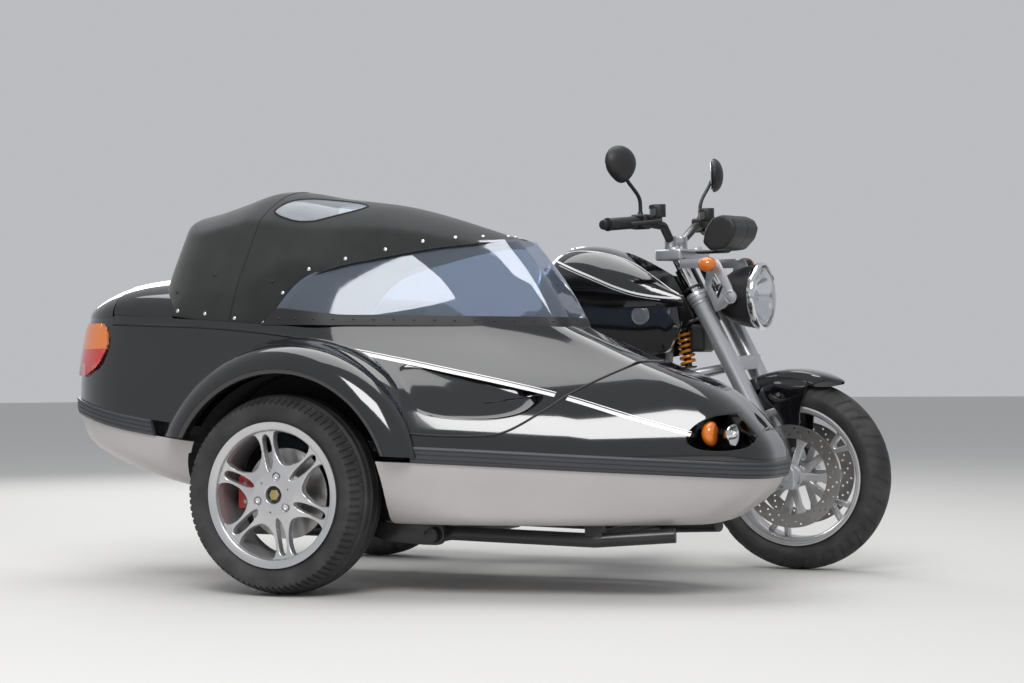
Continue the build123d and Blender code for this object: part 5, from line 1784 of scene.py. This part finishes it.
# Engine, frame and running gear
dressed("engine_block", "engine_case", CASTING, bevel=8, angle=35, segments=3)
CASE_Y = 149.0
plates = knobs("cover", 560, CASE_Y, 400, [(0, 84), (4, 84), (7, 80), (7, 66), (5, 62), (5, 2)], 48, CASTING)
plates += knobs("cover", 900, CASE_Y, 540, [(0, 40), (4, 40), (6, 36), (6, 2)], 36, CASTING)
screw_spot = wheel_at(560, 400)
for k in range(8):
    x, z = screw_spot(75, 45 * k)
    plates += knobs("screw", x, CASE_Y + 6, z, [(0, 5.5), (2.5, 5.5), (3.4, 3.5)], 12, STEEL)
finish(joined("engine_covers", plates), "outfit", smooth=35)
front_ribs = prisms([[(1058, z), (1063, z + 1), (1063, z + 7), (1058, z + 8)] for z in range(262, 590, 22)],
                    -130, 130)
paint(front_ribs, CASTING)
finish(front_ribs, "outfit", smooth=30)
dressed("cylinders", "cylinder_barrels", CASTING, bevel=1.4, angle=35)
HEAD_Y = 371.0
heads = knobs("plug", 902, HEAD_Y, 412, [(0, 24), (3, 24), (5, 21), (5, 14), (3, 12), (3, 2)], 32, CASTING)
for x, z in ((820, 348), (984, 348), (820, 478), (984, 478)):
    heads += knobs("screw", x, HEAD_Y, z, [(0, 7), (3, 7), (4, 5), (4, 2)], 14, STEEL)
finish(joined("head_screws", heads), "outfit", smooth=35)
# Node, the piece that stands for it, finish and width of its rounded edges
ROUNDED = [
    ("main_frame", "main_frame_black", FRAME_BLACK, 2.0),
    ("swing_arm", "swing_arm_cast", CASTING, 4.0),
    ("tail_cover", "tail_cover_black", BLACK, 6.0),
    ("rear_mudguard", "rear_mudguard_black", PLASTIC, 1.0),
    ("bike_tail_lamp", "bike_tail_lamp_red", RED, 5.0),
    ("foot_rests", "foot_rests_cast", CASTING, 1.5),
    ("exhaust_system", "exhaust_chrome", CHROME, 3.0),
    ("sidecar_frame", "sidecar_tubes", FRAME_BLACK, 1.5),
    ("sidecar_swing_arm", "sidecar_arm_black", FRAME_BLACK, 2.5),
]
for node, name, mat, bevel in ROUNDED:
    dressed(node, name, mat, bevel=bevel)
SILENCER_FRONT = Vector((170, 206, 272))
SILENCER_REAR = Vector((-270, 218, 362))
END_FORM = [(0, 59.5), (6, 59.5), (9, 56), (9, 34), (4, 30), (4, 26), (9, 24), (12, 23), (12, 19), (-4, 18),
            (-4, 2)]
to_rear = (SILENCER_REAR - SILENCER_FRONT).normalized()
end_cap = turned_along("silencer_ends", SILENCER_REAR - to_rear * 8, SILENCER_REAR + to_rear * 10, END_FORM,
                       48, CHROME)
finish(end_cap, "outfit", smooth=35)

# Nose lamps: amber and clear, on dark holders in their pockets
AMBER_FORM = [(2, 8), (6, 20), (13, 28), (22, 33), (31, 34), (38, 30), (41, 20), (42, 2)]
CLEAR_FORM = [(2, 8), (6, 18), (14, 25), (24, 29), (33, 30), (38, 26), (41, 17), (42, 2)]
BULB_FORM = [(0, 4), (2, 14), (10, 22), (16, 23), (16, 21), (8, 10), (20, 8), (24, 3)]
# Kind, x of its rear end, distance of its axis from the nose's middle, z, section, segments and finish
NOSE_FORMS = [
    ("amber", 1478, 172.5, 458, AMBER_FORM, 36, AMBER),
    ("clear", 1538, 168.5, 455, CLEAR_FORM, 36, LAMP_GLASS),
    ("bulb", 1545, 168.5, 455, BULB_FORM, 24, CHROME),
]
HOLDER = [(-4, -10), (8, -10), (8, 10), (-4, 10)]
ambers = []
clears = []
holders = []
for side in (-1, 1):
    for kind, x, out, z, section, segments, mat in NOSE_FORMS:
        y = NOSE_Y + side * out
        form = turned_along(kind, (x, y, z), (x + 10, y, z), section, segments, mat)
        (ambers if kind == "amber" else clears).append(form)
    for x, out, z in ((1484, 172.5, 458), (1543, 168.5, 455)):
        low, high = sorted((NOSE_Y + side * out, NOSE_Y + side * 140))
        holders.append(side_prism("holder", [(x + dx, z + dz) for dx, dz in HOLDER], low, high))
finish(joined("nose_lamps_amber", ambers), "outfit", ["nose_lamps"], smooth=45)
finish(joined("nose_lamps_clear", clears), "outfit", smooth=45)
holders = joined("nose_lamp_holders", holders)
paint(holders, PLASTIC)
finish(holders, "outfit", smooth=30)

# Tail lamps: amber above, red below
TAIL_SPLIT_Z = 708
tails = dressed("tail_lamps", "tail_lamps_amber", AMBER, bevel=0)
edited(tails, ("bisect", {"plane_co": at(-450, NOSE_Y, TAIL_SPLIT_Z), "plane_no": (0, 0, 1)}))
mark_faces(tails, RED, lambda x, y, z: z < TAIL_SPLIT_Z)
finish(tails, "outfit", smooth=45)


# Seats: padded covers over the CAD forms, swelled by pressure
def padded_cover(node, name, mat, voxel, cap):
    pad = node_copy(node, name)
    modify(pad, "REMESH", mode="VOXEL", voxel_size=voxel * MM)
    modify(pad, "SMOOTH", factor=0.5, iterations=4)
    modify(pad, "DISPLACE", strength=-3.0 * MM, mid_level=0.0)
    start = [v.co.copy() for v in pad.data.vertices]
    only(pad)
    cloth = pad.modifiers.new("cover", "CLOTH")
    cloth.settings.use_pressure = True
    cloth.settings.uniform_pressure_force = 4.0
    cloth.settings.tension_stiffness = 20
    cloth.settings.compression_stiffness = 20
    cloth.settings.effector_weights.gravity = 0.0
    cloth.collision_settings.use_collision = False
    cloth.point_cache.frame_start = 1
    cloth.point_cache.frame_end = 20
    for f in range(1, 21):
        bpy.context.scene.frame_set(f)
    swelled = pad.evaluated_get(bpy.context.evaluated_depsgraph_get())
    places = [v.co.copy() for v in swelled.data.vertices]
    pad.modifiers.remove(cloth)
    bpy.context.scene.frame_set(1)
    for v, place, was in zip(pad.data.vertices, places, start):
        move = place - was
        if move.length > cap * MM:
            move = move.normalized() * cap * MM
        v.co = was + move
    modify(pad, "SMOOTH", factor=0.5, iterations=3)
    smooth_surface(pad, 1)
    paint(pad, mat)
    finish(pad, BODY_OF[node], [node], smooth=60)
    return pad


padded_cover("rider_seat", "rider_seat_cover", LEATHER, 8.0, 9)
padded_cover("passenger_seat", "passenger_seat_cover", TRIM, 10.0, 10)


# Floor, backdrop, light and camera
floor_mat = bpy.data.materials.new("pale_floor")
floor_mat.use_nodes = True
floor_tree = floor_mat.node_tree
floor_tree.nodes["Principled BSDF"].inputs["Base Color"].default_value = (0.62, 0.61, 0.59, 1)
floor_tree.nodes["Principled BSDF"].inputs["Roughness"].default_value = 0.9
deselect()
bpy.ops.mesh.primitive_circle_add(vertices=96, radius=40, fill_type="NGON", location=(0, 0, 0))
floor = bpy.context.object
floor.name = "floor"
floor.data.materials.append(floor_mat)
floor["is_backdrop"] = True

world = bpy.data.worlds.new("studio")
bpy.context.scene.world = world
world.use_nodes = True
tree = world.node_tree
back = tree.nodes["Background"]
back.inputs["Color"].default_value = (0.80, 0.82, 0.86, 1)
back.inputs["Strength"].default_value = 0.62


def lamp(name, place, target, size, power):
    data = bpy.data.lights.new(name, "AREA")
    data.shape = "RECTANGLE"
    data.size, data.size_y = size
    data.energy = power
    obj = bpy.data.objects.new(name, data)
    obj.location = place
    obj.rotation_euler = (Vector(target) - Vector(place)).to_track_quat("-Z", "Y").to_euler()
    bpy.context.scene.collection.objects.link(obj)


# Name, place, target and size in metres, and power in watts
LAMPS = [
    ("key", (1.5, -4.5, 4.2), (0, -0.2, 0.4), (3.0, 2.0), 190),
    ("top", (-0.5, 0.5, 5.0), (0, 0, 0.4), (5.0, 4.0), 150),
    ("rim", (-4.0, 4.0, 3.0), (0, 0, 0.5), (3.0, 2.0), 90),
]
for row in LAMPS:
    lamp(*row)

# The camera that the photograph was fitted with: its place in mm, its turns in radians and its lens in mm
CAMERA_PLACE = (3135, -6152, 631)
CAMERA_TURN, CAMERA_TIP, CAMERA_ROLL = 0.4038, 0.0151, -0.0066
SENSOR_WIDTH, LENS = 36.0, 69.89
camera = bpy.data.cameras.new("camera")
camera.sensor_width = SENSOR_WIDTH
camera.lens = LENS
view = bpy.data.objects.new("camera", camera)
bpy.context.scene.collection.objects.link(view)
turn, tip, roll = CAMERA_TURN, CAMERA_TIP, CAMERA_ROLL
ahead = Vector((-sin(turn) * cos(tip), cos(turn) * cos(tip), sin(tip)))
side = ahead.cross(Vector((0, 0, 1))).normalized()
up = side.cross(ahead)
side_r = side * cos(roll) + up * sin(roll)
up_r = up * cos(roll) - side * sin(roll)
view.matrix_world = Matrix.Translation(at(*CAMERA_PLACE)) @ Matrix((side_r, up_r,
                                                                    -ahead)).transposed().to_4x4()
bpy.context.scene.camera = view
bpy.context.scene.view_settings.view_transform = "Standard"

bpy.data.objects.remove(guide)

low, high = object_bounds()
{"cad": [list(cad_low), list(cad_high)], "visual": [list(low), list(high)]}
